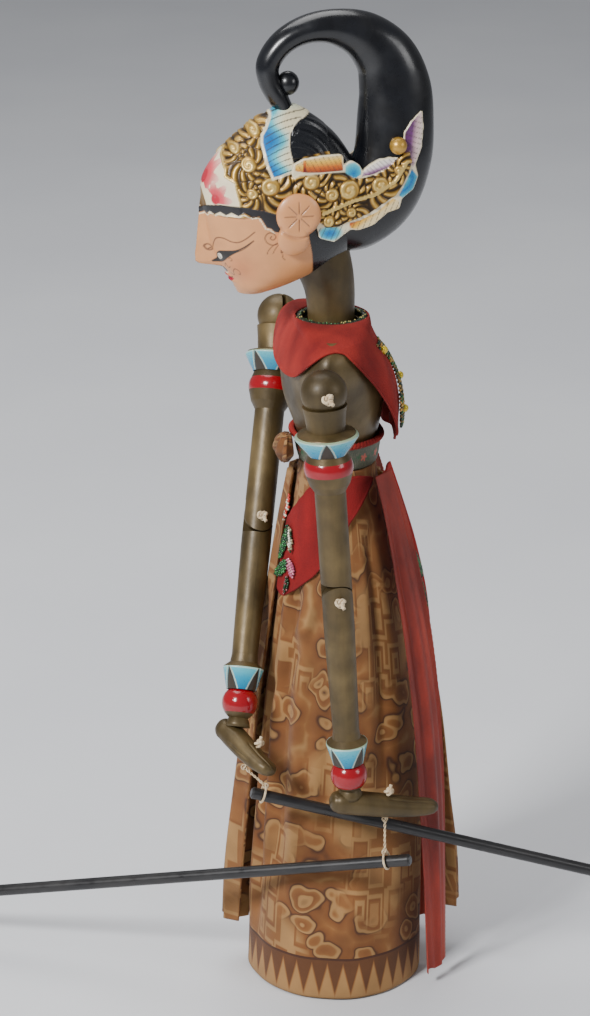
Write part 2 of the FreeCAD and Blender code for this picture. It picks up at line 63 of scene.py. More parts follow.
lens = bpy.data.cameras.new("camera")
lens.sensor_width, lens.lens = 36.0, 118.1
lens.shift_x, lens.shift_y = -0.0354, 0.0221
scene.camera = bpy.data.objects.new("camera", lens)
aim(scene.camera, (1.9434, -0.3427, 1.0182))

for name, place, size, watts in (
    ("key_light", (1.3, -1.5, 1.7), 0.5, 72),
    ("side_light", (1.2, 1.7, 1.3), 0.8, 10),
    ("top_light", (-0.8, -0.2, 2.4), 1.6, 34),
):
    lamp = bpy.data.lights.new(name, "AREA")
    lamp.size, lamp.energy = size, watts
    aim(bpy.data.objects.new(name, lamp), place)
world = bpy.data.worlds.new("studio")
world.use_nodes = True
world.node_tree.nodes["Background"].inputs[0].default_value = (0.93, 0.95, 1.0, 1)
world.node_tree.nodes["Background"].inputs[1].default_value = 0.26
scene.world = world


# ---- procedural materials ----
class Look:
    """A Principled shader and the nodes that feed it."""

    def __init__(self, name, **sockets):
        self.mat = bpy.data.materials.new(name)
        self.mat.use_nodes = True
        self.tree = self.mat.node_tree
        self.shader = next(n for n in self.tree.nodes if n.type == "BSDF_PRINCIPLED")
        for key, value in sockets.items():
            self.drive(key.replace("_", " "), value)
        self.place = self.add("TexCoord")["Object"]

    def drive(self, socket, value):
        self.feed(self.shader.inputs[socket], value)

    def feed(self, socket, value):
        if isinstance(value, bpy.types.NodeSocket):
            self.tree.links.new(value, socket)
        else:
            socket.default_value = value

    def add(self, kind, settings=(), **inputs):
        node = self.tree.nodes.new("ShaderNode" + kind)
        for key, value in dict(settings).items():
            setattr(node, key, value)
        for key, value in inputs.items():
            number = key[1:].isdigit() and key[0] == "n"
            self.feed(node.inputs[int(key[1:]) if number else key.replace("_", " ")], value)
        return node.outputs

    def noise(self, scale, detail=3.0, stretch=None):
        where = self.add("Mapping", Vector=self.place, Scale=stretch)[0] if stretch else self.place
        return self.add("TexNoise", Vector=where, Scale=scale, Detail=detail)[0]

    def ramp(self, value, *stops):
        out = self.add("ValToRGB", Fac=value)
        band = out[0].node.color_ramp
        while len(band.elements) < len(stops):
            band.elements.new(0.5)
        for element, (place, colour) in zip(band.elements, stops):
            element.position = place
            element.color = (*colour, 1) if len(colour) == 3 else (colour[0],) * 3 + (1,)
        return out[0]

    def mix(self, share, first, second, blend="MIX"):
        kind = {"data_type": "RGBA", "blend_type": blend}
        return self.add("Mix", kind, n0=share, n6=first, n7=second)[2]

    def sum(self, operation, first, second=0.0, third=0.5):
        return self.add("Math", {"operation": operation}, n0=first, n1=second, n2=third)[0]

    def attribute(self, name, output=2):
        return self.add("Attribute", {"attribute_name": name})[output]

    def bump(self, height, distance, strength=0.6):
        self.drive("Normal", self.add("Bump", Height=height, Distance=distance, Strength=strength)[0])


def painted_look():
    """Paint on carved wood: colour, metal and roughness come from the piece's own painted layers."""
    look = Look("painted_wood", Coat_Weight=0.25, Coat_Roughness=0.16)
    grime = look.ramp(look.noise(70, 5), (0.25, (0.80,)), (0.6, (1.0,)))
    look.drive("Base Color", look.mix(0.7, look.attribute("paint", 0), grime, "MULTIPLY"))
    look.drive("Metallic", look.attribute("metal"))
    speck = look.sum("MULTIPLY", look.noise(400, 3), 0.22)
    look.drive("Roughness", look.sum("ADD", look.attribute("rough"), speck))
    look.bump(look.noise(900, 4), 0.0002, 0.35)
    return look.mat


def bronze_look():
    """Worn gold-bronze paint: cloudy colour and brushed streaks."""
    look = Look("bronze_paint", Metallic=0.42, Coat_Weight=0.12, Coat_Roughness=0.3)
    cloud = look.ramp(look.noise(28, 5), (0.30, (0.040, 0.027, 0.010)), (0.52, (0.098, 0.066, 0.024)),
                      (0.74, (0.185, 0.128, 0.050)))
    streak = look.noise(160, 4, (1, 1, 0.12))
    cloud = look.mix(0.5, cloud, look.ramp(streak, (0.3, (0.62,)), (0.7, (1.15,))), "MULTIPLY")
    look.drive("Base Color", cloud)
    look.drive("Roughness", look.ramp(look.noise(55, 5), (0.3, (0.36,)), (0.7, (0.58,))))
    look.bump(look.noise(520, 5), 0.0003, 0.4)
    return look.mat


def velvet_look(name, deep, light):
    look = Look(name, Roughness=0.95, Sheen_Weight=0.10, Sheen_Roughness=0.4)
    look.drive("Sheen Tint", (*light, 1))
    nap = look.ramp(look.noise(48, 4, (1, 1, 0.5)), (0.32, deep), (0.70, light))
    pile = look.ramp(look.noise(1900, 2), (0.3, (0.72,)), (0.7, (1.15,)))
    look.drive("Base Color", look.mix(0.8, nap, pile, "MULTIPLY"))
    look.bump(look.noise(1500, 3), 0.0005, 0.7)
    return look.mat


def threads(look, pitch):
    """Height of a plain weave with this thread pitch in metres, from the piece's cloth layers."""
    across, down = look.attribute("cloth_u"), look.attribute("cloth_v")
    turn = 2 * math.pi / (pitch * 1000)
    warp = look.sum("SINE", look.sum("MULTIPLY", across, turn))
    weft = look.sum("SINE", look.sum("MULTIPLY", down, turn))
    return look.sum("MULTIPLY", warp, weft)


def batik_look():
    """Wax-resist cotton: caramel ground, brown fill, cream motifs, and a border of teeth at the hem."""
    look = Look("batik", Roughness=0.86, Sheen_Weight=0.08)
    across, down = look.attribute("cloth_u"), look.attribute("cloth_v")
    flat = look.add("CombineXYZ", X=across, Y=down)[0]
    swirl = look.add("TexNoise", Vector=flat, Scale=0.034, Detail=2.0)[1]
    bent = look.add("VectorMath", {"operation": "SCALE"}, n0=swirl, Scale=26.0)[0]
    bent = look.add("VectorMath", {"operation": "ADD"}, n0=flat, n1=bent)[0]
    cream, tan = (0.37, 0.195, 0.066), (0.250, 0.098, 0.024)
    caramel, brown = (0.190, 0.064, 0.013), (0.060, 0.018, 0.006)
    cells = look.add("TexVoronoi", {"feature": "SMOOTH_F1"}, Vector=bent, Scale=0.050, Smoothness=0.12)[0]
    curves = look.ramp(cells, (0.0, brown), (0.13, cream), (0.20, cream), (0.235, caramel), (0.36, tan),
                       (0.40, cream),
                       (0.445, cream), (0.475, brown), (0.53, caramel), (0.75, tan), (0.9, cream))
    blocks = look.add("TexVoronoi", {"distance": "CHEBYCHEV"}, Vector=look.add("Mapping", Vector=flat,
                      Rotation=(0, 0, 0.06), Scale=(1.5, 0.62, 1))[0], Scale=0.058, Randomness=0.65)[0]
    steps = look.ramp(blocks, (0.0, tan), (0.10, caramel), (0.14, cream), (0.24, cream), (0.27, tan),
                      (0.36, caramel), (0.40, cream), (0.47, cream), (0.50, tan))
    where = look.ramp(look.add("TexNoise", Vector=flat, Scale=0.012, Detail=1.0)[0], (0.47, (0.0,)),
                      (0.53, (1.0,)))
    cloth = look.mix(where, curves, steps)
    tooth = look.sum("ABSOLUTE", look.sum("SUBTRACT", look.sum("FRACT",
            look.sum("DIVIDE", across, TOOTH_PITCH)), 0.5))
    top = look.sum("MULTIPLY", tooth, 40.0)
    inside = look.sum("SUBTRACT", look.sum("SUBTRACT", TOOTH_LIFT, down), top)
    ground = look.sum("LESS_THAN", down, BORDER_TOP)
    hem = look.ramp(look.sum("MULTIPLY_ADD", inside, 0.1), (0.40, (0.115, 0.040, 0.010)), (0.5, caramel),
                    (0.6, tan), (0.9, cream))
    cloth = look.mix(ground, cloth, hem)
    line = look.sum("LESS_THAN", look.sum("ABSOLUTE", look.sum("SUBTRACT", down, BORDER_TOP + 0.5)), 0.8)
    cloth = look.mix(line, cloth, (*brown, 1))
    aged = look.ramp(look.noise(38, 5), (0.28, (0.66,)), (0.7, (1.12,)))
    weave = threads(look, 0.0009)
    cloth = look.mix(0.85, cloth, aged, "MULTIPLY")
    # Painted shade of the weave: the cloth is darker where the threads lie low, following the same height
    # as the bump.
    tone = look.ramp(look.sum("MULTIPLY_ADD", weave, 0.5), (0.0, (0.86,)), (1.0, (1.06,)))
    look.drive("Base Color", look.mix(0.8, cloth, tone, "MULTIPLY"))
    look.bump(weave, 0.00022, 0.5)
    return look.mat


def satin_look():
    look = Look("satin", Roughness=0.5, Sheen_Weight=0.05, Anisotropic=0.4)
    fade = look.ramp(look.noise(32, 4, (1, 1, 0.35)), (0.3, (0.16, 0.009, 0.003)),
                     (0.5, (0.36, 0.028, 0.011)), (0.72, (0.52, 0.080, 0.036)))
    rib = look.sum("SINE", look.sum("MULTIPLY", look.attribute("cloth_v"), 9.0))
    tone = look.ramp(look.noise(900, 2), (0.3, (0.85,)), (0.7, (1.08,)))
    look.drive("Base Color", look.mix(0.8, fade, tone, "MULTIPLY"))
    look.bump(rib, 0.00012, 0.5)
    return look.mat


def cotton_look():
    look = Look("cotton", Roughness=0.9, Sheen_Weight=0.3)
    look.drive("Base Color", look.ramp(look.noise(420, 4), (0.3, (0.44, 0.29, 0.15)),
                                       (0.7, (0.83, 0.69, 0.46))))
    look.bump(look.noise(1500, 3, (1, 1, 0.4)), 0.0005, 0.8)
    return look.mat


def wood_look(name, dark, light, rough, stretch):
    look = Look(name, Roughness=rough, Coat_Weight=0.15)
    grain = look.noise(60, 6, stretch)
    look.drive("Base Color", look.ramp(grain, (0.3, dark), (0.7, light)))
    look.drive("Roughness", look.ramp(look.noise(120, 4), (0.3, (rough - 0.1,)), (0.7, (rough + 0.15,))))
    look.bump(grain, 0.0004, 0.4)
    return look.mat


def lacquer_look():
    look = Look("black_lacquer", Coat_Weight=0.25, Coat_Roughness=0.10)
    look.drive("Base Color", look.ramp(look.noise(60, 5), (0.3, (0.002, 0.002, 0.003)),
                                       (0.75, (0.006, 0.007, 0.010))))
    look.drive("Roughness", look.ramp(look.noise(90, 5), (0.3, (0.20,)), (0.75, (0.40,))))
    look.bump(look.noise(60, 3), 0.0009, 0.25)
    return look.mat


def floor_look():
    look = Look("pale_floor", Roughness=0.7)
    look.drive("Base Color", look.ramp(look.noise(3, 4), (0.3, (0.70, 0.71, 0.74)),
                                       (0.7, (0.76, 0.77, 0.79))))
    return look.mat


PAINT, BRONZE, LACQUER, COTTON, SATIN, BATIK = (make() for make in (
    painted_look, bronze_look, lacquer_look, cotton_look, satin_look, batik_look))
VEST_RED = velvet_look("velvet_red", (0.19, 0.006, 0.005), (0.36, 0.022, 0.014))
HIP_RED = velvet_look("velvet_dark_red", (0.13, 0.001, 0.002), (0.27, 0.006, 0.006))
FLAP_RED = velvet_look("velvet_bright_red", (0.25, 0.005, 0.004), (0.46, 0.020, 0.012))
ROD_BLACK = wood_look("black_stain", (0.006, 0.006, 0.007), (0.026, 0.024, 0.024), 0.36, (1, 0.15, 1))
WOOD = wood_look("plain_wood", (0.10, 0.045, 0.018), (0.24, 0.12, 0.05), 0.5, (1, 1, 0.1))


def tint(r, g, b):
    """A colour read on the 0 to 255 screen scale, as linear light."""
    return np.array([((c / 255 + 0.055) / 1.055) ** 2.4 if c > 10 else c / 3295 for c in (r, g, b)])


# ---- shapes ----
def spline(x, knots, values):
    """Values at x on the smooth line through the knots."""
    knots, values = np.asarray(knots, float), np.asarray(values, float)
    slope = np.gradient(values, knots, axis=0)
    x = np.clip(np.asarray(x, float), knots[0], knots[-1])
    i = np.clip(np.searchsorted(knots, x, side="right") - 1, 0, len(knots) - 2)
    h = knots[i + 1] - knots[i]
    t = (x - knots[i]) / h
    if values.ndim == 2:
        h, t = h[..., None], t[..., None]
    a, b = values[i], values[i + 1]
    return (a * (1 + 2 * t) * (1 - t) ** 2 + b * t * t * (3 - 2 * t)
            + h * (slope[i] * t * (1 - t) ** 2 - slope[i + 1] * t * t * (1 - t)))


def smooth_path(points, count):
    points = np.asarray(points, float)
    return spline(np.linspace(0, len(points) - 1, count), np.arange(len(points)), points)


def bell(distance, width):
    return np.exp(-((distance / width) ** 2))


def round_angles(count):
    """Angles once round a circle, without the last one that would close it."""
    return np.linspace(0, 2 * math.pi, count, endpoint=False)


def ease(value, low, high):
    t = np.clip((np.asarray(value, float) - low) / (high - low), 0, 1)
    return t * t * (3 - 2 * t)


def quads(rows, cols, wrap=False):
    r = np.arange(rows - 1)[:, None] * cols
    c = np.arange(cols if wrap else cols - 1)[None, :]
    a, b = r + c, r + (c + 1) % cols
    return np.stack([a, b, b + cols, a + cols], -1).reshape(-1, 4).tolist()


def loft(rings, caps=True):
    rings = np.asarray(rings, float)
    n, m = rings.shape[:2]
    points, faces = rings.reshape(-1, 3), quads(n, m, True)
    if caps:
        points = np.vstack([points, rings[0].mean(0), rings[-1].mean(0)])
        faces += [[(k + 1) % m, k, n * m] for k in range(m)]
        faces += [[(n - 1) * m + k, (n - 1) * m + (k + 1) % m, n * m + 1] for k in range(m)]
    return points, faces


def tube(path, radius, sides=14, caps=True):
    """Round bar of this radius, or radii, along the path."""
    path = np.asarray(path, float)
    radius = np.broadcast_to(radius, len(path))
    ahead = np.gradient(path, axis=0)
    ahead /= np.linalg.norm(ahead, axis=1)[:, None]
    side = np.cross(ahead[0], [0.31, 0.52, 0.79])
    turn = round_angles(sides)
    rings = []
    for p, t, r in zip(path, ahead, radius):
        side = side - t * (side @ t)
        side /= np.linalg.norm(side)
        rings.append(p + r * (np.outer(np.cos(turn), side) + np.outer(np.sin(turn), np.cross(t, side))))
    return loft(rings, caps)


def ring_path(centre, normal, radius, count=40):
    normal = np.array(normal, float) / np.linalg.norm(normal)
    side = np.cross(normal, [0.31, 0.52, 0.79])
    side /= np.linalg.norm(side)
    turn = np.linspace(0, 2 * math.pi, count)
    return centre + radius * (np.outer(np.cos(turn), side) + np.outer(np.sin(turn), np.cross(normal, side)))


def turned(profile, count=72):
    """Rings of a lathe shape about Z from (radius, height) points."""
    turn = round_angles(count)
    return np.array([np.stack([r * np.cos(turn), r * np.sin(turn), np.full(count, float(z))], 1)
                     for r, z in profile])


def ball_profile(radius, steps, pole=0.05):
    """Points of a lathe ball, left open by a small angle at its poles."""
    return [(radius * math.sin(a), radius * math.cos(a)) for a in np.linspace(pole, math.pi - pole, steps)]


def merge(parts):
    points, faces, start = [], [], 0
    for p, f in parts:
        points.append(np.asarray(p, float))
        faces += [[k + start for k in face] for face in f]
        start += len(p)
    return np.vstack(points), faces


def trimmed(points, faces, keep, rounds=6):
    """The faces whose corners are all kept, with their new edge smoothed, and the kept corners' numbers."""
    faces = [f for f in faces if all(keep[k] for k in f)]
    used = sorted({k for f in faces for k in f})
    new = {k: i for i, k in enumerate(used)}
    faces = [[new[k] for k in f] for f in faces]
    points = np.asarray(points, float)[used].copy()
    edges = {}
    for f in faces:
        for a, b in zip(f, f[1:] + f[:1]):
            edges[(min(a, b), max(a, b))] = edges.get((min(a, b), max(a, b)), 0) + 1
    rim = {}
    for (a, b), times in edges.items():
        if times == 1:
            rim.setdefault(a, []).append(b)
            rim.setdefault(b, []).append(a)
    ends = [(k, n) for k, n in rim.items() if len(n) == 2]
    own = np.array([k for k, _ in ends], int)
    near = np.array([n for _, n in ends], int)
    for _ in range(rounds if len(own) else 0):
        points[own] = points[own] * 0.4 + points[near].mean(1) * 0.6
    return points, faces, np.array(used)


def piece(name, shape, body, look, nodes=(), layers=None, thick=0.0, close=True):
    """One visible piece from (points in mm, faces), riding on a CAD body and standing for CAD nodes."""
    points, faces = shape
    mesh = bpy.data.meshes.new(name)
    mesh.from_pydata((np.asarray(points, float) * MM).tolist(), [], faces)
    mesh.materials.append(look)
    for key, values in (layers or {}).items():
        values = np.asarray(values, float)
        if values.ndim == 2:
            full = np.ones((len(points), 4))
            full[: len(values), :3] = values
            mesh.attributes.new(key, "FLOAT_COLOR", "POINT").data.foreach_set("color", full.ravel())
        else:
            full = np.full(len(points), values.ravel()[-1])
            full[: len(values)] = values
            mesh.attributes.new(key, "FLOAT", "POINT").data.foreach_set("value", full)
    if close:
        work = bmesh.new()
        work.from_mesh(mesh)
        bmesh.ops.recalc_face_normals(work, faces=work.faces[:])
        work.to_mesh(mesh)
        work.free()
    mesh.polygons.foreach_set("use_smooth", [True] * len(mesh.polygons))
    obj = bpy.data.objects.new(name, mesh)
    scene.collection.objects.link(obj)
    if thick:
        shell = obj.modifiers.new("thickness", "SOLIDIFY")
        shell.thickness, shell.offset = thick * MM, 0.0
    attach(obj, body)
    if nodes:
        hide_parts(*nodes)
    return obj


def flat_paint(count, colour, metal=0.0, rough=0.3):
    return {"paint": np.tile(colour, (count, 1)), "metal": np.full(count, metal),
            "rough": np.full(count, rough)}


# ---- painting in side view or in the head's unrolled chart ----
def to_segments(points, a, b, closed):
    points = [tuple(p) for p in points]
    pairs = list(zip(points, points[1:] + points[:1])) if closed else list(zip(points, points[1:]))
    nearest, odd = np.full(a.shape, 1e9), np.zeros(a.shape, bool)
    for (x0, y0), (x1, y1) in pairs:
        ex, ey = x1 - x0, y1 - y0
        t = np.clip(((a - x0) * ex + (b - y0) * ey) / max(ex * ex + ey * ey, 1e-9), 0, 1)
        nearest = np.minimum(nearest, np.hypot(a - x0 - t * ex, b - y0 - t * ey))
        if closed and y0 != y1:
            odd ^= ((y0 <= b) != (y1 <= b)) & (a < ex * (b - y0) / ey + x0)
    return np.where(odd, -nearest, nearest)


class Painting:
    """Colour, metal and roughness layers for the points (a, b) of a chart."""

    def __init__(self, a, b, colour, rough=0.3):
        self.a, self.b = a, b
        self.colour = np.tile(colour, (len(a), 1)).astype(float)
        self.metal, self.rough = np.zeros(len(a)), np.full(len(a), rough)

    def fill(self, share, colour, metal=0.0, rough=0.3):
        share = np.clip(share, 0, 1)
        self.colour += share[:, None] * (np.asarray(colour, float) - self.colour)
        self.metal += share * (metal - self.metal)
        self.rough += share * (rough - self.rough)

    def area(self, outline, a=None, b=None, soft=0.35):
        d = to_segments(outline, self.a if a is None else a, self.b if b is None else b, True)
        return np.clip(0.5 - d / soft, 0, 1)

    def stroke(self, points, width, colour, count=60):
        d = to_segments(smooth_path(points, count), self.a, self.b, False)
        self.fill(np.clip(0.5 + (width / 2 - d) / 0.4, 0, 1), colour, rough=0.4)

    def layers(self):
        return {"paint": self.colour, "metal": self.metal, "rough": self.rough}


CREAM, INK, GOLD = tint(238, 224, 190), tint(26, 18, 14), tint(196, 152, 66)
# The first colour on the next line is the painted shade in the hollows of the gold carving.
GOLD_RECESS_SHADE, FLESH = tint(48, 32, 10), tint(214, 148, 94)
BLUE, CYAN = tint(0, 104, 172), tint(86, 190, 204)


def gradient(t, *colours):
    """Colours blended evenly along t from 0 to 1."""
    t = np.clip(t, 0, 1) * (len(colours) - 1)
    i = np.minimum(t.astype(int), len(colours) - 2)
    table = np.array(colours)
    return table[i] + (t - i)[:, None] * (table[i + 1] - table[i])


SCROLLS = [(-60, 551, 3.2, 0.4, 1), (-53, 543, 4.4, 2.2, -1), (-48, 561, 3.8, 1.2, 1),
           (-41.4, 530.4, 5.4, 3.0, -1),
           (-52, 526, 3.4, 0.2, 1), (-17, 532.8, 5.0, 3.4, -1), (-4, 524, 4.2, 1.0, 1),
           (6.6, 526, 6.2, 3.2, -1),
           (8, 512, 3.2, 0.5, 1), (26, 527.5, 5.2, 3.4, -1), (-6, 508, 3.6, 2.0, -1),
           (38, 536, 3.0, 1.2, 1)]


def scrollwork(y, z):
    """Carved scrolls: height from 0 to 1 of spiral curls with leaf flutes sweeping round them."""
    best, second, height = np.full(y.shape, 1e9), np.full(y.shape, 1e9), np.zeros(y.shape)
    for cy, cz, r, start, hand in SCROLLS:
        dy, dz = y - cy, z - cz
        rho, phi = np.hypot(dy, dz), np.arctan2(dz, dy)
        curl = 0.72 + 0.28 * np.cos(2 * math.pi * rho / (0.75 * r) - hand * phi + start) + 0.2 * (1
                                                                                                  - rho / r)
        flute = 0.42 + 0.40 * np.sin(9 * phi + hand * rho * 0.85 + start) - 0.012 * rho
        leaf = ease(rho, r * 0.96, r * 1.14)
        groove = 1 - 0.8 * bell(rho - r * 1.04, 0.6)
        mine = (curl * (1 - leaf) + flute * leaf) * groove
        far = rho / (r + 3)
        nearer = far < best
        second = np.where(nearer, best, np.minimum(second, far))
        height = np.where(nearer, mine, height)
        best = np.minimum(best, far)
    return np.clip(height * ease(second - best, 0.0, 0.22), 0, 1)


def gild_with_painted_shade(canvas, share, height):
    # Painted shade and highlight: the gold is near-black in the carving's low parts and pale on its raised
    # tops, following the relief height.
    canvas.fill(share, gradient(height * 1.15, GOLD_RECESS_SHADE, tint(132, 98, 38), GOLD, tint(222, 190, 112)),
                0.55, 0.32)


def feather(canvas, outline, t, *colours, lines=None):
    """A painted patch shaded along t with thin dark hatch lines and a cream edge."""
    share = canvas.area(outline)
    canvas.fill(share, gradient(t, *colours), rough=0.16)
    if lines is not None:
        canvas.fill(share * (np.abs(np.mod(lines, 1) - 0.5) < 0.07) * 0.75, tint(70, 52, 44), rough=0.3)
    edge = np.abs(to_segments(outline, canvas.a, canvas.b, True))
    canvas.fill(np.clip((0.75 - edge) / 0.4, 0, 1), CREAM, rough=0.2)


# ---- head ----
HEAD = np.array([(459, -50, 8, 8), (463, -45, 14, 15), (470, -38, 20, 25), (478, -33, 24, 36),
                 (490, -30, 27, 45),
                 (505, -30, 28.5, 47.5), (520, -31, 28.5, 48.5), (532, -31, 28, 47.5), (545, -30, 24, 40),
                 (558, -28, 17, 28), (569, -27, 9, 13), (574, -27, 3, 4)], float)
NOSE = np.array([(475.0, -60), (476.4, -68), (477.6, -79), (479, -82.6), (482, -83.6), (490, -83.0),
                 (505, -81.6), (517, -80.2), (524, -79)], float)
EAR, EAR_R = (-25.0, 513.0), 13.5


def make_head():
    rows, cols = 250, 440
    z = np.repeat(np.linspace(459.3, 573.6, rows), cols)
    turn = np.tile(np.linspace(-math.pi, math.pi, cols, endpoint=False), rows)
    cy, rx, ry = spline(z, HEAD[:, 0], HEAD[:, 1:]).T
    fine = np.linspace(0, math.pi, 900)
    girth = np.concatenate([[0], np.cumsum(np.hypot(HALF_WIDTH * np.cos(fine[1:]),
                                                    HALF_DEPTH * np.sin(fine[1:])) * fine[1])])
    u = np.interp(np.abs(turn), fine, girth)
    x, y = rx * np.sin(turn), cy - ry * np.cos(turn)
    side_x, side_y = np.sin(turn), -np.cos(turn)

    front = ease(np.cos(turn), 0.2, 0.6)
    bridge = np.maximum((cy - ry) - spline(z, NOSE[:, 0], NOSE[:, 1]), 0) * (z > 474.6) * (z < 524)
    wide = 3.4 + 2.6 * ease(505 - z, 0, 26)
    y = y - bridge * np.clip(1 - np.abs(x) / wide, 0, 1) ** 1.15 * front
    y = y - 1.6 * np.exp(-((np.abs(x) - 4.6) / 1.9) ** 2 - ((z - 480.4) / 1.9) ** 2) * front
    y = y - (1.9 * bell(z - 470.9, 1.25) + 1.7 * bell(z - 467.6, 1.3)) \
        * np.exp(-((x / 6.5) ** 4)) * front
    y = y + 0.9 * bell(z - 469.3, 0.45) * np.exp(-((x / 6.5) ** 4)) * front
    lid = np.exp(-((u - 15) / 9) ** 2 - ((z - 486.5) / 3.2) ** 2)
    x, y = x + 0.7 * lid * side_x, y + 0.7 * lid * side_y

    art = Painting(u, z, tint(17, 19, 24), 0.16)
    sy = cy - ry * np.cos(turn)
    flesh = art.area([(-99, 450), (-99, 518), (-36, 517), (-28, 514), (-19, 502), (-16, 488), (-14, 470),
                      (-18, 450)], sy)
    blush = np.exp(-((u - 26) / 12) ** 2 - ((z - 478) / 9) ** 2)
    art.fill(flesh, FLESH + blush[:, None] * (tint(208, 132, 82) - FLESH), rough=0.3)

    gold = art.area([(-99, 512), (-99, 580), (-4, 580), (-4, 541), (4, 538), (4, 503), (-12, 501),
                     (-14, 507), (-36, 511)], sy)
    cap_line = [(-5, 512), (-5, 550.5), (3, 549.5), (7, 546.6), (13, 543.6), (19.5, 539), (21.2, 535.2),
                (25, 533.8), (29.1, 532.2), (30.4, 528), (31, 526), (32.5, 520.3), (33, 512)]
    cap = art.area(cap_line)
    carved = scrollwork(sy, z)
    rim = np.abs(to_segments(cap_line, u, z, True))
    # The rim round the cap is raised, with a groove that the gilding below paints as shade.
    carved = np.where(rim < 1.6, 0.9 - 0.55 * (np.abs(rim - 1.5) < 0.35), carved)
    gold = gold * (1 - cap)
    band = [(-2, 512.6), (3.5, 514.8), (9, 516.6), (20, 518.3), (35, 518), (47.7, 515.8), (60, 512),
            (60, 497),
            (55.5, 500.4), (54, 502.4), (51.6, 502.9), (49.6, 505), (47, 505.6), (45.6, 508.4),
            (43.4, 512.6), (39, 511.9),
            (34.7, 514.3), (30.7, 512.2), (26.7, 514.1), (23, 512.1), (19.2, 513.8), (15, 511.8),
            (11, 513.0), (7, 510.6), (3.5, 511.6), (-2, 509)]
    hairline = art.area(band)
    gold = gold * (1 - hairline)
    strap = [(-36, 578), (-38, 568), (-41.5, 562), (-44, 558.8), (-44.7, 555), (-44.1, 551.2), (-42.6, 543),
             (-39.8, 535.4), (-36, 536.2), (-31, 538), (-26.3, 539.3), (-27.2, 543), (-27.9, 547.4),
             (-28.4, 553), (-27.5, 559.6), (-25, 563.2), (-21.7, 566.2), (-14, 569), (-12, 578)]
    blue = art.area(strap, sy)
    lens_share = art.area([(-26.4, 541), (-28, 547.4), (-28.6, 553), (-27.5, 559.6), (-25, 563.2),
                           (-21.7, 566.2),
                           (-14, 569), (-12, 580), (30, 580), (30, 548.4), (2.6, 548.4), (-9, 548.5),
                           (-21.3, 546.9)], sy)
    # Gold over the head's carving, with painted shade in its hollows and a painted highlight on its raised
    # scrolls.
    gild_with_painted_shade(art, gold * (1 - blue), carved)
    art.fill(cap, CREAM, rough=0.22)
    for au, az, reach, low in ((2.5, 533, 15, 526.5), (16.2, 521, 11.5, 518.9)):
        away, bearing = np.hypot(u - au, z - az), np.arctan2(z - az, u - au)
        fan = cap * (away < reach * (0.82 + 0.18
                * np.cos(7 * bearing))) * (z > low) * (bearing > -0.9) * (bearing < 2.4)
        core = cap * np.clip((reach * 0.30 - away) / 0.8, 0, 1)
        art.fill(fan, gradient(away / reach, tint(196, 30, 52), tint(216, 84, 92), tint(238, 196, 176)),
                 rough=0.2)
        art.fill(core, tint(186, 30, 52), rough=0.2)
        art.fill(fan * (np.abs(np.sin(8 * bearing)) < 0.10) * 0.6, tint(176, 88, 92), rough=0.3)
    jewel = art.area([(-5, 512), (-5, 527), (0.5, 526.6), (3, 525), (6, 521.5), (8.2, 517.5), (8.6, 512)])
    art.fill(jewel, gradient((z - 513) / 14, tint(96, 66, 30), tint(172, 136, 74)), 0.45, 0.25)
    art.fill(hairline, tint(22, 20, 24), rough=0.2)
    under = to_segments(band, u, z, True)
    art.fill((np.abs(under - 0.85) < 0.35) * (z < 514.4) * (u < 52) * (1 - hairline), tint(244, 226, 190),
             rough=0.3)

    t = np.clip((sy + 44.5) / 17.5, 0, 1)
    wave = 0.5 + 0.5 * np.cos((z - 556.5) / 9.6 * math.pi * 1.04)
    depth = np.clip(t * 1.25 - 0.42 * wave, 0, 1)
    art.fill(blue, gradient(depth, BLUE, tint(20, 140, 196), CYAN, tint(206, 222, 200),
                            tint(228, 216, 178)), rough=0.16)
    lines = (z - 0.42 * sy + 0.012 * (sy + 36) ** 2) / 3.3
    art.fill(blue * (np.abs(np.mod(lines, 1) - 0.5) < 0.09) * (t > 0.12) * 0.85, tint(58, 50, 48),
             rough=0.3)
    edge = np.abs(to_segments(strap, sy, z, True))
    art.fill(np.clip((1.0 - edge) / 0.4, 0, 1) * (z > 520), CREAM, rough=0.2)
    art.fill(lens_share, tint(17, 19, 24), rough=0.16)

    brown = tint(104, 66, 40)
    for points, width in (
        ([(3.6, 487.5), (5.4, 489.6), (3.8, 491.0), (2.6, 489.4), (4.6, 487.2), (8, 491.2), (12.4, 496.2),
          (18, 497.3), (24, 495.6), (29, 495.7), (34, 498.3), (39.4, 502.6)], 0.75),
        ([(54.6, 501.4), (55.2, 498), (53.2, 495.4), (49.6, 494.6), (46.3, 496.6), (45.8, 499.8),
          (48, 502.2), (51, 501.8), (52.2, 499.6), (50.6, 497.8), (48.8, 498.8), (49.6, 500)], 0.65),
        ([(54, 497), (57.2, 494.4), (57.6, 491), (55.8, 489.6), (56, 491.4), (58.8, 491.6), (60, 493.6),
          (58.6, 494.6)], 0.6),
        ([(54, 496.4), (50.6, 494.4), (47.6, 491.2), (46.6, 488.6)], 0.5),
        ([(54.6, 495.6), (52, 492.4), (50.4, 489)], 0.5), ([(56.4, 490), (57.2, 486.4), (59, 484.8)], 0.5),
        ([(19.6, 482.6), (21.2, 483.4), (20.6, 485), (18.9, 484.2)], 0.45),
        ([(12, 473.6), (15, 472.6), (17.2, 475.4), (20.4, 477.4), (23.4, 476.4), (23.6, 474.2),
          (21.6, 473.8)], 0.55), ([(11, 478), (13.4, 480.4), (14, 477.4), (16.6, 478.4)], 0.5),
    ):
        art.stroke(points, width, brown)
    upper = [(5.5, 480.6), (8.5, 484.8), (13, 488.0), (19, 489.0), (26, 490.0), (32, 492.6), (38.4, 497.0)]
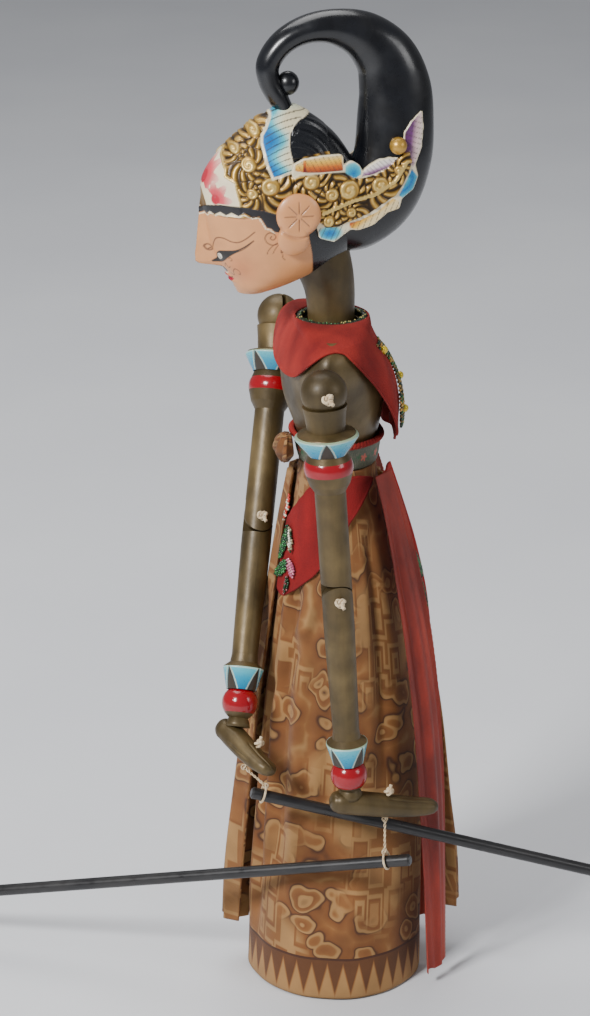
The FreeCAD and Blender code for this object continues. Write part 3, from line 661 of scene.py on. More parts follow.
    lower = [(5.5, 480.2), (10, 480.9), (14.5, 482.6), (19.5, 485.4), (25, 488.4), (30, 490.6)]
    lids = art.area(list(map(tuple, smooth_path(upper[:5], 24)))
                    + list(map(tuple, smooth_path(lower, 24)))[::-1])
    art.fill(lids, INK, rough=0.3)
    eye_u, eye_z, tilt = 11.4, 484.7, 0.5
    along = (u - eye_u) * math.cos(tilt) + (z - eye_z) * math.sin(tilt)
    across = (z - eye_z) * math.cos(tilt) - (u - eye_u) * math.sin(tilt)
    oval = np.hypot(along / 3.4, across / 1.75)
    art.fill(np.clip((1 - oval) / 0.15, 0, 1), tint(240, 232, 214), rough=0.2)
    art.fill(np.clip((0.36 - np.abs(np.hypot(along + 0.2, across) - 0.95)) / 0.3, 0, 1), INK, rough=0.3)
    art.stroke(upper, 0.85, INK)
    art.stroke(lower, 0.55, INK)
    art.stroke([(30, 490.6), (34, 493), (38.4, 497.0)], 0.55, brown)
    patch = np.clip((1 - np.hypot((u - 4.0) / 5.4, (z - 475.2) / 2.6)) / 0.12, 0, 1) * (z < 477.4)
    art.fill(patch * flesh, tint(20, 16, 16), rough=0.25)
    # Painted highlight: a cream line along the top of the upper lip.
    art.stroke([(0, 472.3), (4, 472.3), (8, 473.4)], 0.6, tint(238, 222, 200))
    lips = np.clip((1 - np.hypot(u / 11.0, (z - 469.2) / 2.9)) / 0.12, 0, 1)
    art.fill(lips * flesh, gradient((z - 466) / 6, tint(150, 20, 40), tint(196, 40, 62)), rough=0.18)
    art.stroke([(0, 469.3), (6, 469.5), (11, 470.6)], 0.5, tint(70, 12, 20))

    out = gold * (1 - blue) * (0.2 + 1.7 * carved) + blue * 0.8 + cap * 0.25 + hairline * 0.2
    x, y = x + out * side_x, y + out * side_y
    z_up = z + out * ease(z, 548, 572) * 0.9
    points = np.stack([x, y, z_up], 1)
    shape = loft(points.reshape(rows, cols, 3))
    piece("head_carving", shape, "head", PAINT, ["head"], art.layers())


def make_ears():
    cols, rows = 200, 46
    turn = round_angles(cols)
    cy, cz = EAR[0] - 0.5, EAR[1] - 4.5
    reach = np.zeros(cols)
    for oy, oz, r in ((EAR[0], EAR[1], EAR_R), (-28.2, 498.5, 9.6)):
        dy, dz = cy - oy, cz - oz
        b = dy * np.cos(turn) + dz * np.sin(turn)
        inner = b * b - (dy * dy + dz * dz - r * r)
        reach = np.maximum(reach, np.where(inner > 0, -b + np.sqrt(np.maximum(inner, 0)), 0))
    for _ in range(3):
        reach = (np.roll(reach, 1) + reach + np.roll(reach, -1)) / 3
    share = np.concatenate([np.linspace(0.01, 1, rows - 5), [1.0, 0.99, 0.97, 0.95, 0.93]])
    depth = np.concatenate([np.zeros(rows - 5), [1.2, 3, 6, 9, 12]])
    y = cy + np.outer(share, reach * np.cos(turn))
    z = cz + np.outer(share, reach * np.sin(turn))
    dy, dz = y - EAR[0], z - EAR[1]
    rho, bearing = np.hypot(dy, dz), np.arctan2(dz, dy)
    off = np.abs(np.mod(bearing + math.pi / 8, math.pi / 4) - math.pi / 8) * rho
    star = bell(off, 0.38) * ease(rho, 1.0, 2.2) * (1 - ease(rho, 8.2, 9.8))
    crease = bell(rho - EAR_R * 0.99, 0.8) * (z < EAR[1] - 6)
    x = 34.0 - 2.6 * np.clip(share[:, None], 0, 1) ** 5 - depth[:, None] - 0.55 * star - 0.9 * crease
    x += 0.9 * bell(y + 29, 6) * (z < 500) * 0.6
    flat = [v.reshape(-1) for v in (y, z, star, crease)]
    art = Painting(flat[0], flat[1], tint(212, 146, 94), 0.3)
    # Painted shade: the incised star and the crease low on the rim are coloured darker where they are
    # dented in.
    art.fill(flat[2] * 0.85, tint(138, 96, 66), rough=0.5)
    art.fill(flat[3] * 0.5, tint(160, 112, 80), rough=0.5)
    for side, word in ((1, "left"), (-1, "right")):
        points = np.stack([side * x.reshape(-1), flat[0], flat[1]], 1).reshape(rows, cols, 3)
        piece(f"ear_{word}", loft(points), "head", PAINT, ["head"], art.layers())


def make_neck():
    turn = round_angles(72)
    stations = np.array([(423, 0, 0, 0), (445, 0, 0, 0), (458, -1, 1, 1), (470, -4, 3, 3),
                         (490, -10, 4, 5)], float)
    rings = []
    for z in np.linspace(423.2, 490, 60):
        cy, w, d = spline(z, stations[:, 0], stations[:, 1:])
        rings.append(np.stack([(NECK_R + w) * np.cos(turn), cy + (NECK_R + d) * np.sin(turn),
                               np.full(72, z)], 1))
    piece("neck", loft(rings), "head", BRONZE, ["head"])


CREST = np.array([(2, 497.5, 16.5, 17), (17, 503.5, 20.5, 20), (31, 518, 23, 21), (38, 540, 24, 20),
                  (39.5, 562, 23.5, 18), (39, 582, 22, 16), (33, 600.5, 19, 14), (19.5, 614, 15, 12.5),
                  (2, 620, 10.8, 11), (-15, 619, 8.6, 10.5), (-29.5, 611.5, 7.6, 9.5), (-38, 599.5, 7.2, 9),
                  (-37.5, 588.5, 6.6, 8.6), (-33, 579.5, 6.4, 8), (-29.5, 573.5, 5.4, 7),
                  (-28.5, 568, 5.6, 7)], float)


def crest_half_width(y, z):
    """Half width of the hair crest where it is seen at (y, z) from the side."""
    best = np.zeros(np.shape(y))
    for cy, cz, r, w in smooth_path(CREST[:10], 90):
        best = np.maximum(best, w * np.sqrt(np.maximum(0, 1 - ((y - cy) ** 2 + (z - cz) ** 2) / r ** 2)))
    return best


def make_crest():
    path = smooth_path(CREST, 240)
    ahead = np.gradient(path[:, :2], axis=0)
    ahead /= np.linalg.norm(ahead, axis=1)[:, None]
    turn = round_angles(72)
    rings = []
    for (cy, cz, r, w), (ty, tz) in zip(path, ahead):
        rings.append(np.stack([w * np.sin(turn), cy + tz * r * np.cos(turn), cz - ty * r * np.cos(turn)],
                              1))
    tip = turned(ball_profile(7.4, 30), 40)
    tip = tip[..., [0, 2, 1]] * (0.95, 0.92, 1.0) + (0, -26.2, 587.0)
    piece("hair_crest_lacquer", merge([loft(rings), loft(tip)]), "head", LACQUER,
          ["hair_crest"])


WING = [(-29, 538), (-27.4, 544), (-21.3, 546.9), (-9, 548.5), (2.6, 548.4), (3.6, 541), (6.4, 543.2),
        (10.4, 543.4),
        (14, 540), (15.2, 536.8), (20, 540.4), (26, 543.2), (33, 544), (38.5, 543.2), (41, 547),
        (40.6, 552), (41.4, 558.7),
        (46, 565), (53.1, 571.2), (54, 561), (52.6, 548), (48.6, 538.6), (50.6, 531), (47.6, 523),
        (40.2, 518.2),
        (38.6, 512), (31, 510), (22, 503), (13.1, 500.6), (7.6, 501.4), (-2.7, 494.6), (-11.8, 497.6),
        (-14, 505)]


def make_wings():
    step = 0.6
    ys, zs = np.arange(-30, 56, step), np.arange(493, 573, step)
    y, z = (v.reshape(-1) for v in np.meshgrid(ys, zs))
    near = to_segments(WING, y, z, True)
    ear = np.hypot(y - EAR[0], z - EAR[1])
    cy, rx, ry = spline(z, HEAD[:, 0], HEAD[:, 1:]).T
    skull = rx * np.sqrt(np.maximum(0, 1 - ((y - cy) / ry) ** 2)) * (z < 572)
    base = np.maximum(np.maximum(skull + 0.9, crest_half_width(y, z) + 0.7),
                      np.interp(y, [-30, -12, 0, 15, 30, 46, 56], [29.0, 28.6, 26.5, 23.6, 21.8, 18.5, 10]))
    art = Painting(y, z, CREAM, 0.2)
    slant = (y + 0.55 * z) / 2.9
    feather(art, [(-27.4, 539.6), (-27.4, 544), (-21.3, 546.9), (-9, 548.5), (2.6, 548.4), (3.3, 537.6),
                  (-20, 538)],
            (548.5 - z) / 10.5 + 0.25 * (y < -20) - 0.5 * (y < -22), tint(236, 214, 160),
            tint(240, 190, 70), tint(206, 104, 30), tint(120, 30, 24), lines=slant)
    feather(art, [(3.6, 535), (3.6, 541), (6.4, 543.2), (10.4, 543.4), (14, 540), (15.2, 535), (10, 532)],
            np.hypot(y - 9.4, z - 536) / 8.0, BLUE, tint(30, 150, 190), CYAN, tint(190, 226, 220))
    feather(art, [(14, 533), (15.2, 536.8), (20, 540.4), (26, 543.2), (33, 544), (38.5, 543.2), (31, 537.4),
                  (22, 534)],
            (z - 533 - 0.28 * (y - 14)) / 4.5, tint(92, 44, 96), tint(176, 140, 170), tint(238, 226, 224),
            tint(240, 232, 220), lines=(y + z) / 3.2)
    feather(art, [(40, 545), (41.4, 558.7), (46, 565), (53.1, 571.2), (54, 561), (52.6, 548), (47, 536)],
            (y - 41 - 0.12 * (z - 545)) / 11, tint(88, 40, 92), tint(112, 62, 116), tint(222, 190, 190),
            tint(236, 222, 206), lines=(z + 0.4 * y) / 3.2)
    feather(art, [(46, 537), (50.6, 531), (47.6, 523), (40.2, 518.2), (37, 520), (42, 529)],
            np.abs(np.hypot(y - 38, z - 531) - 8.5) / 5.5, BLUE, tint(30, 150, 190), CYAN,
            tint(226, 226, 206))
    feather(art, [(6, 506), (14, 507.5), (24, 511.5), (34, 519.5), (38.8, 517), (38.6, 511.6), (31, 510),
                  (22, 503), (13.1, 500.4), (7, 502)],
            (0.66 * (y - 6) + 507.5 - z) / 11.0, tint(112, 30, 22), tint(200, 92, 26), tint(240, 184, 60),
            tint(240, 216, 160), lines=(y - 0.4 * z) / 3.4)
    feather(art, [(-14, 504), (-11.8, 497.6), (-2.7, 494.6), (7, 500.6), (3, 505.5), (-8, 505.5)],
            np.hypot((y + 5.5) / 1.6, z - 500.4) / 5.6, BLUE, tint(20, 130, 186), CYAN, tint(232, 222, 190),
            lines=(y - 0.5 * z) / 3.4)
    leaf = [(-31, 515), (-31, 534), (-24, 537.2), (-8, 537.6), (3.6, 537.4), (9, 533.4), (16, 532.8),
            (24, 534.6),
            (31, 538), (36.5, 543), (40, 546.5), (44.6, 546.5), (46, 541), (44, 534), (40.5, 527),
            (35.6, 520.4),
            (28, 516), (20, 511), (12, 508), (6, 506.6), (0, 504), (-8, 504), (-12, 508), (-16, 515)]
    gilt = art.area(leaf)
    carved = scrollwork(y, z)
    spine = np.abs(to_segments([(-10, 513), (8, 519), (24, 522.5), (36, 530), (43, 541)], y, z, False))
    carved = np.where(spine < 1.1, 0.85, carved)
    # Gold over the wing's carving, with painted shade in its hollows and a painted highlight on its raised
    # scrolls and spine.
    gild_with_painted_shade(art, gilt, carved)
    rise = gilt * (0.5 + 2.0 * carved) + (1 - gilt) * 0.2
    keep = (near < step * 0.4) & (ear > EAR_R - 1.2)
    x = base + rise
    points, faces, used = trimmed(np.stack([x, y, z], 1), quads(len(zs), len(ys)), keep, 4)
    layers = {key: values[used] for key, values in art.layers().items()}
    ball = turned(ball_profile(5.3, 24), 36)
    for side, word in ((1, "left"), (-1, "right")):
        mine = points * (side, 1, 1)
        obj = piece(f"wing_carving_{word}", (mine, faces), "head", PAINT, [f"wing_{word}"],
                    layers, close=False)
        shell = obj.modifiers.new("thickness", "SOLIDIFY")
        shell.thickness, shell.offset = 3.4 * MM, -1.0 if side > 0 else 1.0
        bead = loft(ball + (side * 22.0, 37.2, 551.2))
        piece(f"wing_ball_{word}", bead, "head", PAINT,
              layers=flat_paint(len(bead[0]), GOLD, 0.55, 0.26))


# ---- what is worn on the body ----
TORSO = np.array([(305, 4, 29, 21, 0), (335, 4, 30, 21.5, 0), (355, 4, 30, 22.5, 0), (375, 3, 38, 27, 1),
                  (393, 1.5, 48, 31, 4), (408, 1, 57, 31, 8), (420, 0.5, 63, 28, 11),
                  (430, 0.5, 62, 23, 11), (438, 1, 50, 19, 8)], float)
SKIRT = np.array([(1, 2, 60, 55), (60, 4, 53.5, 54), (120, 6, 48.5, 51.5), (180, 7, 45, 48),
                  (240, 7, 41, 41), (300, 5, 36, 31), (335, 4, 31.5, 24), (349.6, 4, 30.2, 22.3)], float)


def on_torso(turn, z, grow):
    cy, rx, ry, bend = np.moveaxis(spline(z, TORSO[:, 0], TORSO[:, 1:]), -1, 0)
    return np.stack([(rx + grow) * np.cos(turn), cy + (ry + grow) * np.sin(turn) - bend * np.cos(turn) ** 2,
                     z + 0 * turn], -1)


def on_skirt(turn, z, grow):
    cy, rx, ry = np.moveaxis(spline(z, SKIRT[:, 0], SKIRT[:, 1:]), -1, 0)
    return np.stack([(rx + grow) * np.cos(turn), cy + (ry + grow) * np.sin(turn), z + 0 * turn], -1)


def folds(turn, z):
    """How far the skirt's cloth stands out of, or sinks into, its smooth shape."""
    low = ease(330 - z, 0, 120) * (0.25 + 0.75 * ease(z, 4, 60))
    out = low * (0.9 * np.sin(7 * turn + 0.6 + z * 0.006) + 0.6 * np.sin(12 * turn + 1.9 - z * 0.009))
    for centre, width, depth, top, bottom in ((-57, 8, 5.0, 292, 58), (-80, 6, 3.0, 300, 20),
                                              (-20, 5, 1.6, 210, 90),
                                              (24, 6, 1.8, 320, 120), (150, 8, 3.4, 300, 50),
                                              (115, 9, 2.6, 280, 60),
                                              (-125, 8, 3.0, 300, 60), (195, 9, 2.6, 290, 70)):
        off = np.degrees(np.arctan2(np.sin(turn - math.radians(centre)),
                                    np.cos(turn - math.radians(centre))))
        span = ease(top - z, 0, 40) * ease(z - bottom, 0, 50)
        out = out - depth * span * bell(off, width) + 0.45 * depth * span * bell(np.abs(off) - width * 1.7,
                                                                                 width * 0.8)
    degrees = np.degrees(turn)
    drape = (z - 278) + (degrees + 26) * -1.28
    side = bell(degrees + 48, 30)
    out += side * (2.0 * bell(drape, 9) - 1.8 * bell(drape + 19, 9)
                   + 1.0 * bell(drape + 38, 9))
    return out


def make_sarong():
    rows, cols = 190, 400
    heights = np.linspace(349.4, 1.2, rows)
    turn, z = np.meshgrid(np.linspace(-math.pi, math.pi, cols, endpoint=False), heights)
    points = on_skirt(turn, z, 0.8 + np.clip(folds(turn, z), -3.6, 2.2))
    girth = np.degrees(turn) * 0.90
    layers = {"cloth_u": girth.ravel(), "cloth_v": z.ravel()}
    obj = piece("sarong_cloth", (points.reshape(-1, 3), quads(rows, cols, True)), "torso", BATIK,
                ["sarong"], layers, thick=1.2)


def make_hanging(name, node, stations, pleats, rows=130, cols=90, shift=0.0, body=1.0):
    """A gathered cloth end that hangs in pleats: centre x, y, z, half width, half thickness, turn."""
    stations = np.array(stations, float)
    stations[:, 4] *= body
    order = np.argsort(stations[:, 2])
    path = smooth_path(stations[order], rows)
    around = round_angles(cols)
    rings, us, vs = [], [], []
    for cx, cy, z, wide, thick, degrees in path:
        turn = math.radians(degrees)
        s = np.cos(around)
        bulge = thick * (0.62 * np.sin(around) * np.sqrt(np.maximum(0.05, 1 - 0.55 * s * s))
                         + 0.42 * np.sin(pleats * math.pi * s + 0.4 + z * 0.004) * (1 - 0.3 * s * s))
        rings.append(np.stack([cx + wide * s * math.cos(turn) - bulge * math.sin(turn),
                               cy + wide * s * math.sin(turn) + bulge * math.cos(turn), z + 0 * s], 1))
        us.append(shift + wide * s * 1.3 + 60 * (np.sin(around) > 0))
        vs.append(z + 40 + 0 * s)
    shape = loft(rings)
    layers = {"cloth_u": np.concatenate(us), "cloth_v": np.concatenate(vs)}
    obj = piece(name, shape, "torso", BATIK, [node], layers)
    return obj


def make_vest():
    """Short at the front, long at the back, with a wide armhole over each shoulder."""
    cols, top_rows, body_rows, shoulder_z = 300, 14, 70, 435.5
    turn = np.linspace(-math.pi, math.pi, cols, endpoint=False)
    bearing = np.degrees(np.arctan2(np.sin(turn), np.abs(np.cos(turn))))
    edge = spline(bearing, [-90, -66, -52, -42, -32, -20, -6, 8, 20, 30, 38, 46, 54, 68, 90],
                  [411, 412, 415, 421, 427.5, 432, 434.4, 434.6, 432, 425, 413, 396, 376, 366, 368])
    edge = edge + ease(bearing, 50, 66) * (1.8 * np.sin(9 * turn) + 1.2 * np.sin(17 * turn + 1))
    rings = []
    for share in np.linspace(0, 1, top_rows, endpoint=False):
        hole = np.stack([NECK_HOLE_R * np.cos(turn), 0.5 + NECK_HOLE_R * np.sin(turn),
                         np.full(cols, NECK_HOLE_Z)], 1)
        rim = on_torso(turn, np.full(cols, shoulder_z), VEST_GAP)
        lift = hole * (1 - share) + rim * share
        lift[:, 2] = shoulder_z + 5.5 * math.cos(share * math.pi / 2)
        rings.append(lift)
    for share in np.linspace(0, 1, body_rows):
        z = shoulder_z + (edge - shoulder_z) * share
        back = ease(np.sin(turn), 0.25, 0.75)
        wave = 0.8 + 0.2 * np.sin(7 * turn + 0.5) + 0.12 * np.sin(15 * turn)
        flare = back * ease(432 - z, 0, 62) * 10.0 * wave
        lip = 0.9 * ease(share, 0.9, 1.0)
        rings.append(on_torso(turn, z, VEST_GAP + flare + lip))
    rings = np.array(rings)
    obj = piece("vest_velvet", (rings.reshape(-1, 3), quads(len(rings), cols, True)), "torso",
                VEST_RED, ["vest"], close=False, thick=1.5)


def make_braid():
    turn = round_angles(260)
    rings = []
    for a in turn:
        r = 1.7 + 0.35 * math.sin(46 * a) + 0.2 * math.sin(31 * a + 1)
        small = round_angles(14)
        rings.append(np.stack([(BRAID_R + r * np.cos(small)) * math.cos(a),
                               BRAID_Y + (BRAID_R + r * np.cos(small)) * math.sin(a),
                               BRAID_Z + r * np.sin(small)], 1))
    rings.append(rings[0])
    shape = loft(rings, False)
    parts = [shape]
    count = len(shape[0])
    paint = [np.tile(tint(42, 52, 40), (count, 1)) * rng.uniform(0.7, 1.5, (count, 1))]
    for a in rng.uniform(0, 2 * math.pi, 90):
        tilt = rng.uniform(0.2, 2.6)
        centre = np.array([(BRAID_R + 2 * math.cos(tilt)) * math.cos(a),
                           BRAID_Y + (BRAID_R + 2 * math.cos(tilt)) * math.sin(a),
                           BRAID_Z + 1.9 * math.sin(tilt)])
        grain = loft(turned([(0.6 * math.sin(b), 0.6 * math.cos(b)) for b in (0.2, 0.9, 1.6, 2.3, 2.95)],
                            8) + centre)
        parts.append(grain)
        paint.append(np.tile(tint(176, 160, 96) if rng.random() < 0.5 else tint(70, 110, 66),
                             (len(grain[0]), 1)))
    layers = flat_paint(sum(len(p[0]) for p in parts), tint(0, 0, 0), 0.3, 0.35)
    layers["paint"] = np.vstack(paint)
    piece("neck_braid", merge(parts), "torso", PAINT, ["neck_trim"], layers)


def make_belt():
    rows, cols = 34, 520
    t, v = np.meshgrid(round_angles(cols), np.linspace(0, 1, rows))
    z = 350.3 + 15.2 * v
    rib = 0.35 * np.sin(t * 130 + 6 * v * math.pi) * np.sin(v * math.pi * 12) + 0.3 * np.cos(t * 130)
    grow = 1.4 + 1.3 * np.sin(math.pi * np.clip(v * 1.02, 0, 1)) ** 0.35 + 0.28 * rib
    points = on_torso(t, z, grow)
    art = Painting((t * 30).ravel(), (v * 15).ravel(), tint(74, 78, 62), 0.6)
    art.fill((rng.random(rows * cols) < 0.25) * 0.5, tint(120, 116, 92), rough=0.6)
    for k in range(14):
        middle = k * 2 * math.pi * 30 / 14
        for offset, colour, size in ((0, tint(196, 92, 74), 2.8), (4.2, tint(42, 86, 52), 2.2),
                                     (-4.2, tint(42, 86, 52), 2.2)):
            petals = np.hypot(art.a - middle - offset, art.b - 7.6 + 0.25 * offset)
            bearing = np.arctan2(art.b - 7.6, art.a - middle - offset)
            art.fill((petals < size * (0.75 + 0.3 * np.cos(5 * bearing))) * 0.85, colour, rough=0.6)
    layers = art.layers()
    piece("waist_belt_braid", (points.reshape(-1, 3), quads(rows, cols, True)), "torso", PAINT,
          ["waist_belt"], layers, thick=0.8)
    strands = []
    for phase in (0, math.pi):
        a = np.linspace(0, 2 * math.pi, 700)
        centre = on_torso(a, 366.6 + 0.95 * np.sin(a * 38 + phase) + 0.8 * np.sin(a * 3),
                          2.6 + 0.95 * np.cos(a * 38 + phase))
        strands.append(tube(centre, 1.15, 10, False))
    shape = merge(strands)
    piece("belt_piping_cord", shape, "torso", VEST_RED, ["belt_piping"])


def make_hip_cloth():
    outline = [(-89, 311.5), (-89, 300), (-89, 264), (-72, 262.5), (-56, 270), (-38, 281), (-20, 294.5),
               (-5, 311), (6, 320),
               (20, 328), (32, 336), (44, 343.5), (20, 347), (0, 347), (-30, 347), (-42, 345), (-55, 335.6),
               (-72, 323)]
    step_t, step_z = 1.6, 1.0
    ts, zs = np.arange(-96, 50, step_t), np.arange(258, 350, step_z)
    t, z = (v.reshape(-1) for v in np.meshgrid(ts, zs))
    near = to_segments([(a * 0.6, b) for a, b in outline], t * 0.6, z, True)
    sag = 0.9 * np.sin(z / 9.0 + t * 0.05) * bell(t + 40, 30)
    rim = 0.7 * bell(near, 1.6)
    points = on_skirt(np.radians(t), z, 3.3 + 0.5 * sag + rim)
    points, faces, _ = trimmed(points, quads(len(zs), len(ts)), near < 0.3, 6)
    obj = piece("hip_cloth_velvet", (points, faces), "torso", HIP_RED, ["hip_cloth"],
                close=False, thick=1.1)


RIBBON = [(33, 29.0, 348), (37, 36.0, 320), (41.5, 43.5, 280), (44.0, 50.0, 240), (44.5, 56.0, 190),
          (44.0, 60.0, 140), (43.0, 62.5, 90), (42.0, 64.0, 45), (41.0, 65.0, 9)]


def make_ribbons():
    rows, cols = 260, 36
    path = smooth_path(RIBBON, rows)
    share = np.linspace(0, 1, rows)
    s = np.linspace(-1, 1, cols)
    for side, word in ((1, "left"), (-1, "right")):
        points = []
        for k, ((x, y, z), a) in enumerate(zip(path, share)):
            turn = math.radians(-46 - 10 * math.sin(math.pi * min(1.0, a * 1.3)))
            across = np.array([math.cos(turn) * side, math.sin(turn), 0])
            through = np.array([-math.sin(turn) * side, math.cos(turn), 0])
            half = 8.6 + 3.6 * math.sin(min(1.0, a * 2.4) * math.pi / 2) + 0.5 * math.sin(9 * a)
            picot = half + 0.35 * abs(math.sin(k * 1.05)) * 1.2
            fold = ease(a, 0.02, 0.25) * (1.5 * np.cos(math.pi * s * 1.4 + 0.5) - 0.8
                                          * np.cos(3.2 * math.pi * s + 5 * a))
            twist = 1.2 * math.sin(7 * a + 0.5)
            centre = np.array([side * (x + 3.2 * math.sin(math.pi * min(1.0, a * 1.5))), y - 2.0, z])
            points.append(centre + np.outer(np.where(np.abs(s) > 0.97, picot, half) * s, across)
                          + np.outer(fold + twist * s * 0.8, through))
        points = np.array(points)
        points[-6:, :, 2] -= 0.8 * np.sin(s * 9)[None, :] * np.linspace(0, 1, 6)[:, None]
        layers = {"cloth_u": np.tile(s * 10, rows), "cloth_v": np.repeat(share * 340, cols)}
        obj = piece(f"ribbon_satin_{word}", (points.reshape(-1, 3), quads(rows, cols)), "torso",
                    SATIN, [f"ribbon_{word}"], layers, close=False, thick=0.5)


def make_flap():
    stations = np.array([(18, 31.5, 346, 13, -24), (18, 38.0, 322, 16, -24), (19, 46.0, 292, 17, -24),
                         (20, 53.5, 264, 12, -22), (21, 58.0, 243, 3.5, -20)])
    path = smooth_path(stations, 110)
    s = np.linspace(-1, 1, 44)
    points = []
    for cx, cy, z, wide, degrees in path:
        turn = math.radians(degrees)
        ripple = 1.0 * np.sin(2.6 * s + 0.02 * z) + 0.7 * s * s - 0.3
        points.append(np.stack([cx + wide * s * math.cos(turn) - ripple * math.sin(turn),
                                cy + wide * s * math.sin(turn) + ripple * math.cos(turn), z + 0 * s], 1))
    points = np.array(points)
    obj = piece("back_flap_velvet", (points.reshape(-1, 3), quads(110, 44)), "torso",
                FLAP_RED, ["back_flap"], close=False, thick=1.1)


BEAD = ball_profile(1.0, 6, 0.25)


def make_beads(name, node, spots):
    """Sewn beads: each spot is a centre, a radius and a colour."""
    ball = turned(BEAD, 9)
    parts, paint, rough = [], [], []
    for centre, radius, colour in spots:
        shape = loft(ball * radius + np.asarray(centre))
        parts.append(shape)
        paint.append(np.tile(colour, (len(shape[0]), 1)))
        rough.append(np.full(len(shape[0]), 0.12))
    layers = {"paint": np.vstack(paint), "metal": np.full(sum(map(len, rough)), 0.25),
              "rough": np.concatenate(rough)}
    piece(name, merge(parts), "torso", PAINT, [node],
          layers)


LEAF, LEAF_DARK, BEAD_GOLD = tint(40, 112, 52), tint(22, 60, 34), tint(206, 160, 70)
PINK, SEQUIN, PEARL = tint(214, 132, 150), tint(226, 196, 40), tint(236, 228, 206)


def leaf_spots(middle, along, across, out, length, width, colours, size=0.95):
    """Beads in rows filling a leaf shape."""
    spots = []
    middle, along, across, out = (np.array(v, float) for v in (middle, along, across, out))
    for a in np.arange(-length / 2, length / 2, size * 1.75):
        half = width / 2 * math.sqrt(max(0.0, 1 - (2 * a / length) ** 2))
        for b in np.arange(-half, half + 0.1, size * 1.75):
            lift = size * 0.7 + 0.6 * math.cos(b / max(width, 1) * math.pi)
            place = middle + along * a + across * (b + 0.4 * rng.uniform(-1, 1)) + out * lift
            spots.append((place, size * rng.uniform(0.85, 1.1), colours[int(rng.integers(len(colours)))]))
    return spots


def make_bead_work():
    spots = []
    for k in range(26):
        z = 372 + k * 2.25
        x = 9 + 5 * math.sin(k * 0.28)
        for b in np.arange(-5.4, 5.6, 1.8):
            turn = math.radians(90 - (x + b) * 1.35)
            flare = ease(432 - z, 0, 62) * 10.5
            place = on_torso(np.array(turn), np.array(float(z)),
                             2.7 + flare + 0.9 + 0.5 * math.cos(b * 0.3))
            colour = (LEAF_DARK, BEAD_GOLD, LEAF, tint(120, 96, 40))[int(rng.integers(4))]
            spots.append((place, 1.0 * rng.uniform(0.85, 1.15), colour))
    for z, x in ((424, 14), (402, 4), (384, 13)):
        turn = math.radians(90 - x * 1.35)
        centre = on_torso(np.array(turn), np.array(float(z)), 4.8 + ease(432 - z, 0, 62) * 10.5)
        spots.append((centre, 2.6, SEQUIN))
    make_beads("vest_bead_work", "back_beads", spots)

    def hip(turn, z, grow):
        return on_skirt(np.array(math.radians(turn)), np.array(float(z)), grow)

    spots = []
    for turn, z, length, width, colours, tilt in (
        (-80, 296, 22, 7, (LEAF_DARK, LEAF), 0.3), (-70, 302, 18, 6,
                                                    (PEARL, LEAF_DARK, tint(150, 140, 110)), -0.5),
        (-78, 280, 20, 7, (LEAF, LEAF_DARK), 0.9), (-62, 284, 12, 6, (PINK, tint(180, 90, 120)), -0.6),
        (-66, 272, 12, 4, (LEAF_DARK, tint(120, 60, 60)), 0.2),
        (-88, 318, 18, 5, (PEARL, tint(196, 60, 50)), 0.1), ):
        middle = hip(turn, z, 4.4)
        up = hip(turn, z + 1, 4.4) - middle
        up /= np.linalg.norm(up)
        side = hip(turn + 2, z, 4.4) - middle
        side /= np.linalg.norm(side)
        along = up * math.cos(tilt) + side * math.sin(tilt)
        across = side * math.cos(tilt) - up * math.sin(tilt)
        spots += leaf_spots(middle, along, across, np.cross(side, up), length, width, colours)
    make_beads("hip_bead_work", "hip_beads", spots)
    spots = []
    turn = math.radians(-24)
    side = np.array([math.cos(turn), math.sin(turn), 0])
    down = np.array([0.02, -0.26, 0.965])
    out = np.cross(side, down)
    out *= math.copysign(1, out[1]) / np.linalg.norm(out)
    for dx, z, length, width, colours, tilt in (
        (0, 312, 24, 9, (BEAD_GOLD, tint(150, 110, 40), LEAF), 0.1),
        (3, 296, 18, 9, (LEAF_DARK, LEAF), -0.2),
        (-4, 280, 20, 12, (LEAF, LEAF_DARK, LEAF), 0.3), (6, 284, 10, 8, (BEAD_GOLD, PEARL), 0.0),
        (-1, 262, 20, 8, (LEAF_DARK, tint(60, 50, 30), LEAF), 0.0),
        (7, 272, 12, 7, (LEAF_DARK, BEAD_GOLD), 0.2), ):
        y = 38.0 + (322 - z) * 0.262 + 0.6
        middle = np.array([19.0, y, z]) + side * dx
        along = down * math.cos(tilt) + side * math.sin(tilt)
        across = side * math.cos(tilt) - down * math.sin(tilt)
        spots += leaf_spots(middle, along, across, out, length, width, colours, 1.05)
    make_beads("flap_bead_work", "flap_beads", spots)


# ---- arms ----
def rotation(x_degrees, y_degrees=0.0):
    return np.array(Matrix.Rotation(math.radians(x_degrees), 3,
                                    "X") @ Matrix.Rotation(math.radians(y_degrees), 3, "Y"))


ARMS = {
    "left": dict(side=1, turn=rotation(3.6), shoulder=(83, -19, 418), elbow=(83, -10.774, 287.258),
                 wrist=(83, -2.674, 158.513), up=(0, -0.06279, 0.99803), fingers=(0, 0.990, -0.140),
                 length=57, hole=25, top=(83, 19.530, 136.986), bottom=(82.525, 19.679, 113.672)),
    "right": dict(side=-1, turn=rotation(-11.21, -25.62), shoulder=(-83, -19, 418),
                  elbow=(-26.356, -41.963, 302.133),
                  wrist=(29.424, -64.576, 188.036), up=(-0.43240, 0.17529, 0.88448),
                  fingers=(0.826, 0.459, -0.324),
                  length=44, hole=24, top=(48.460, -63.932, 163.481), bottom=(58, -51.850, 153.843)),
}


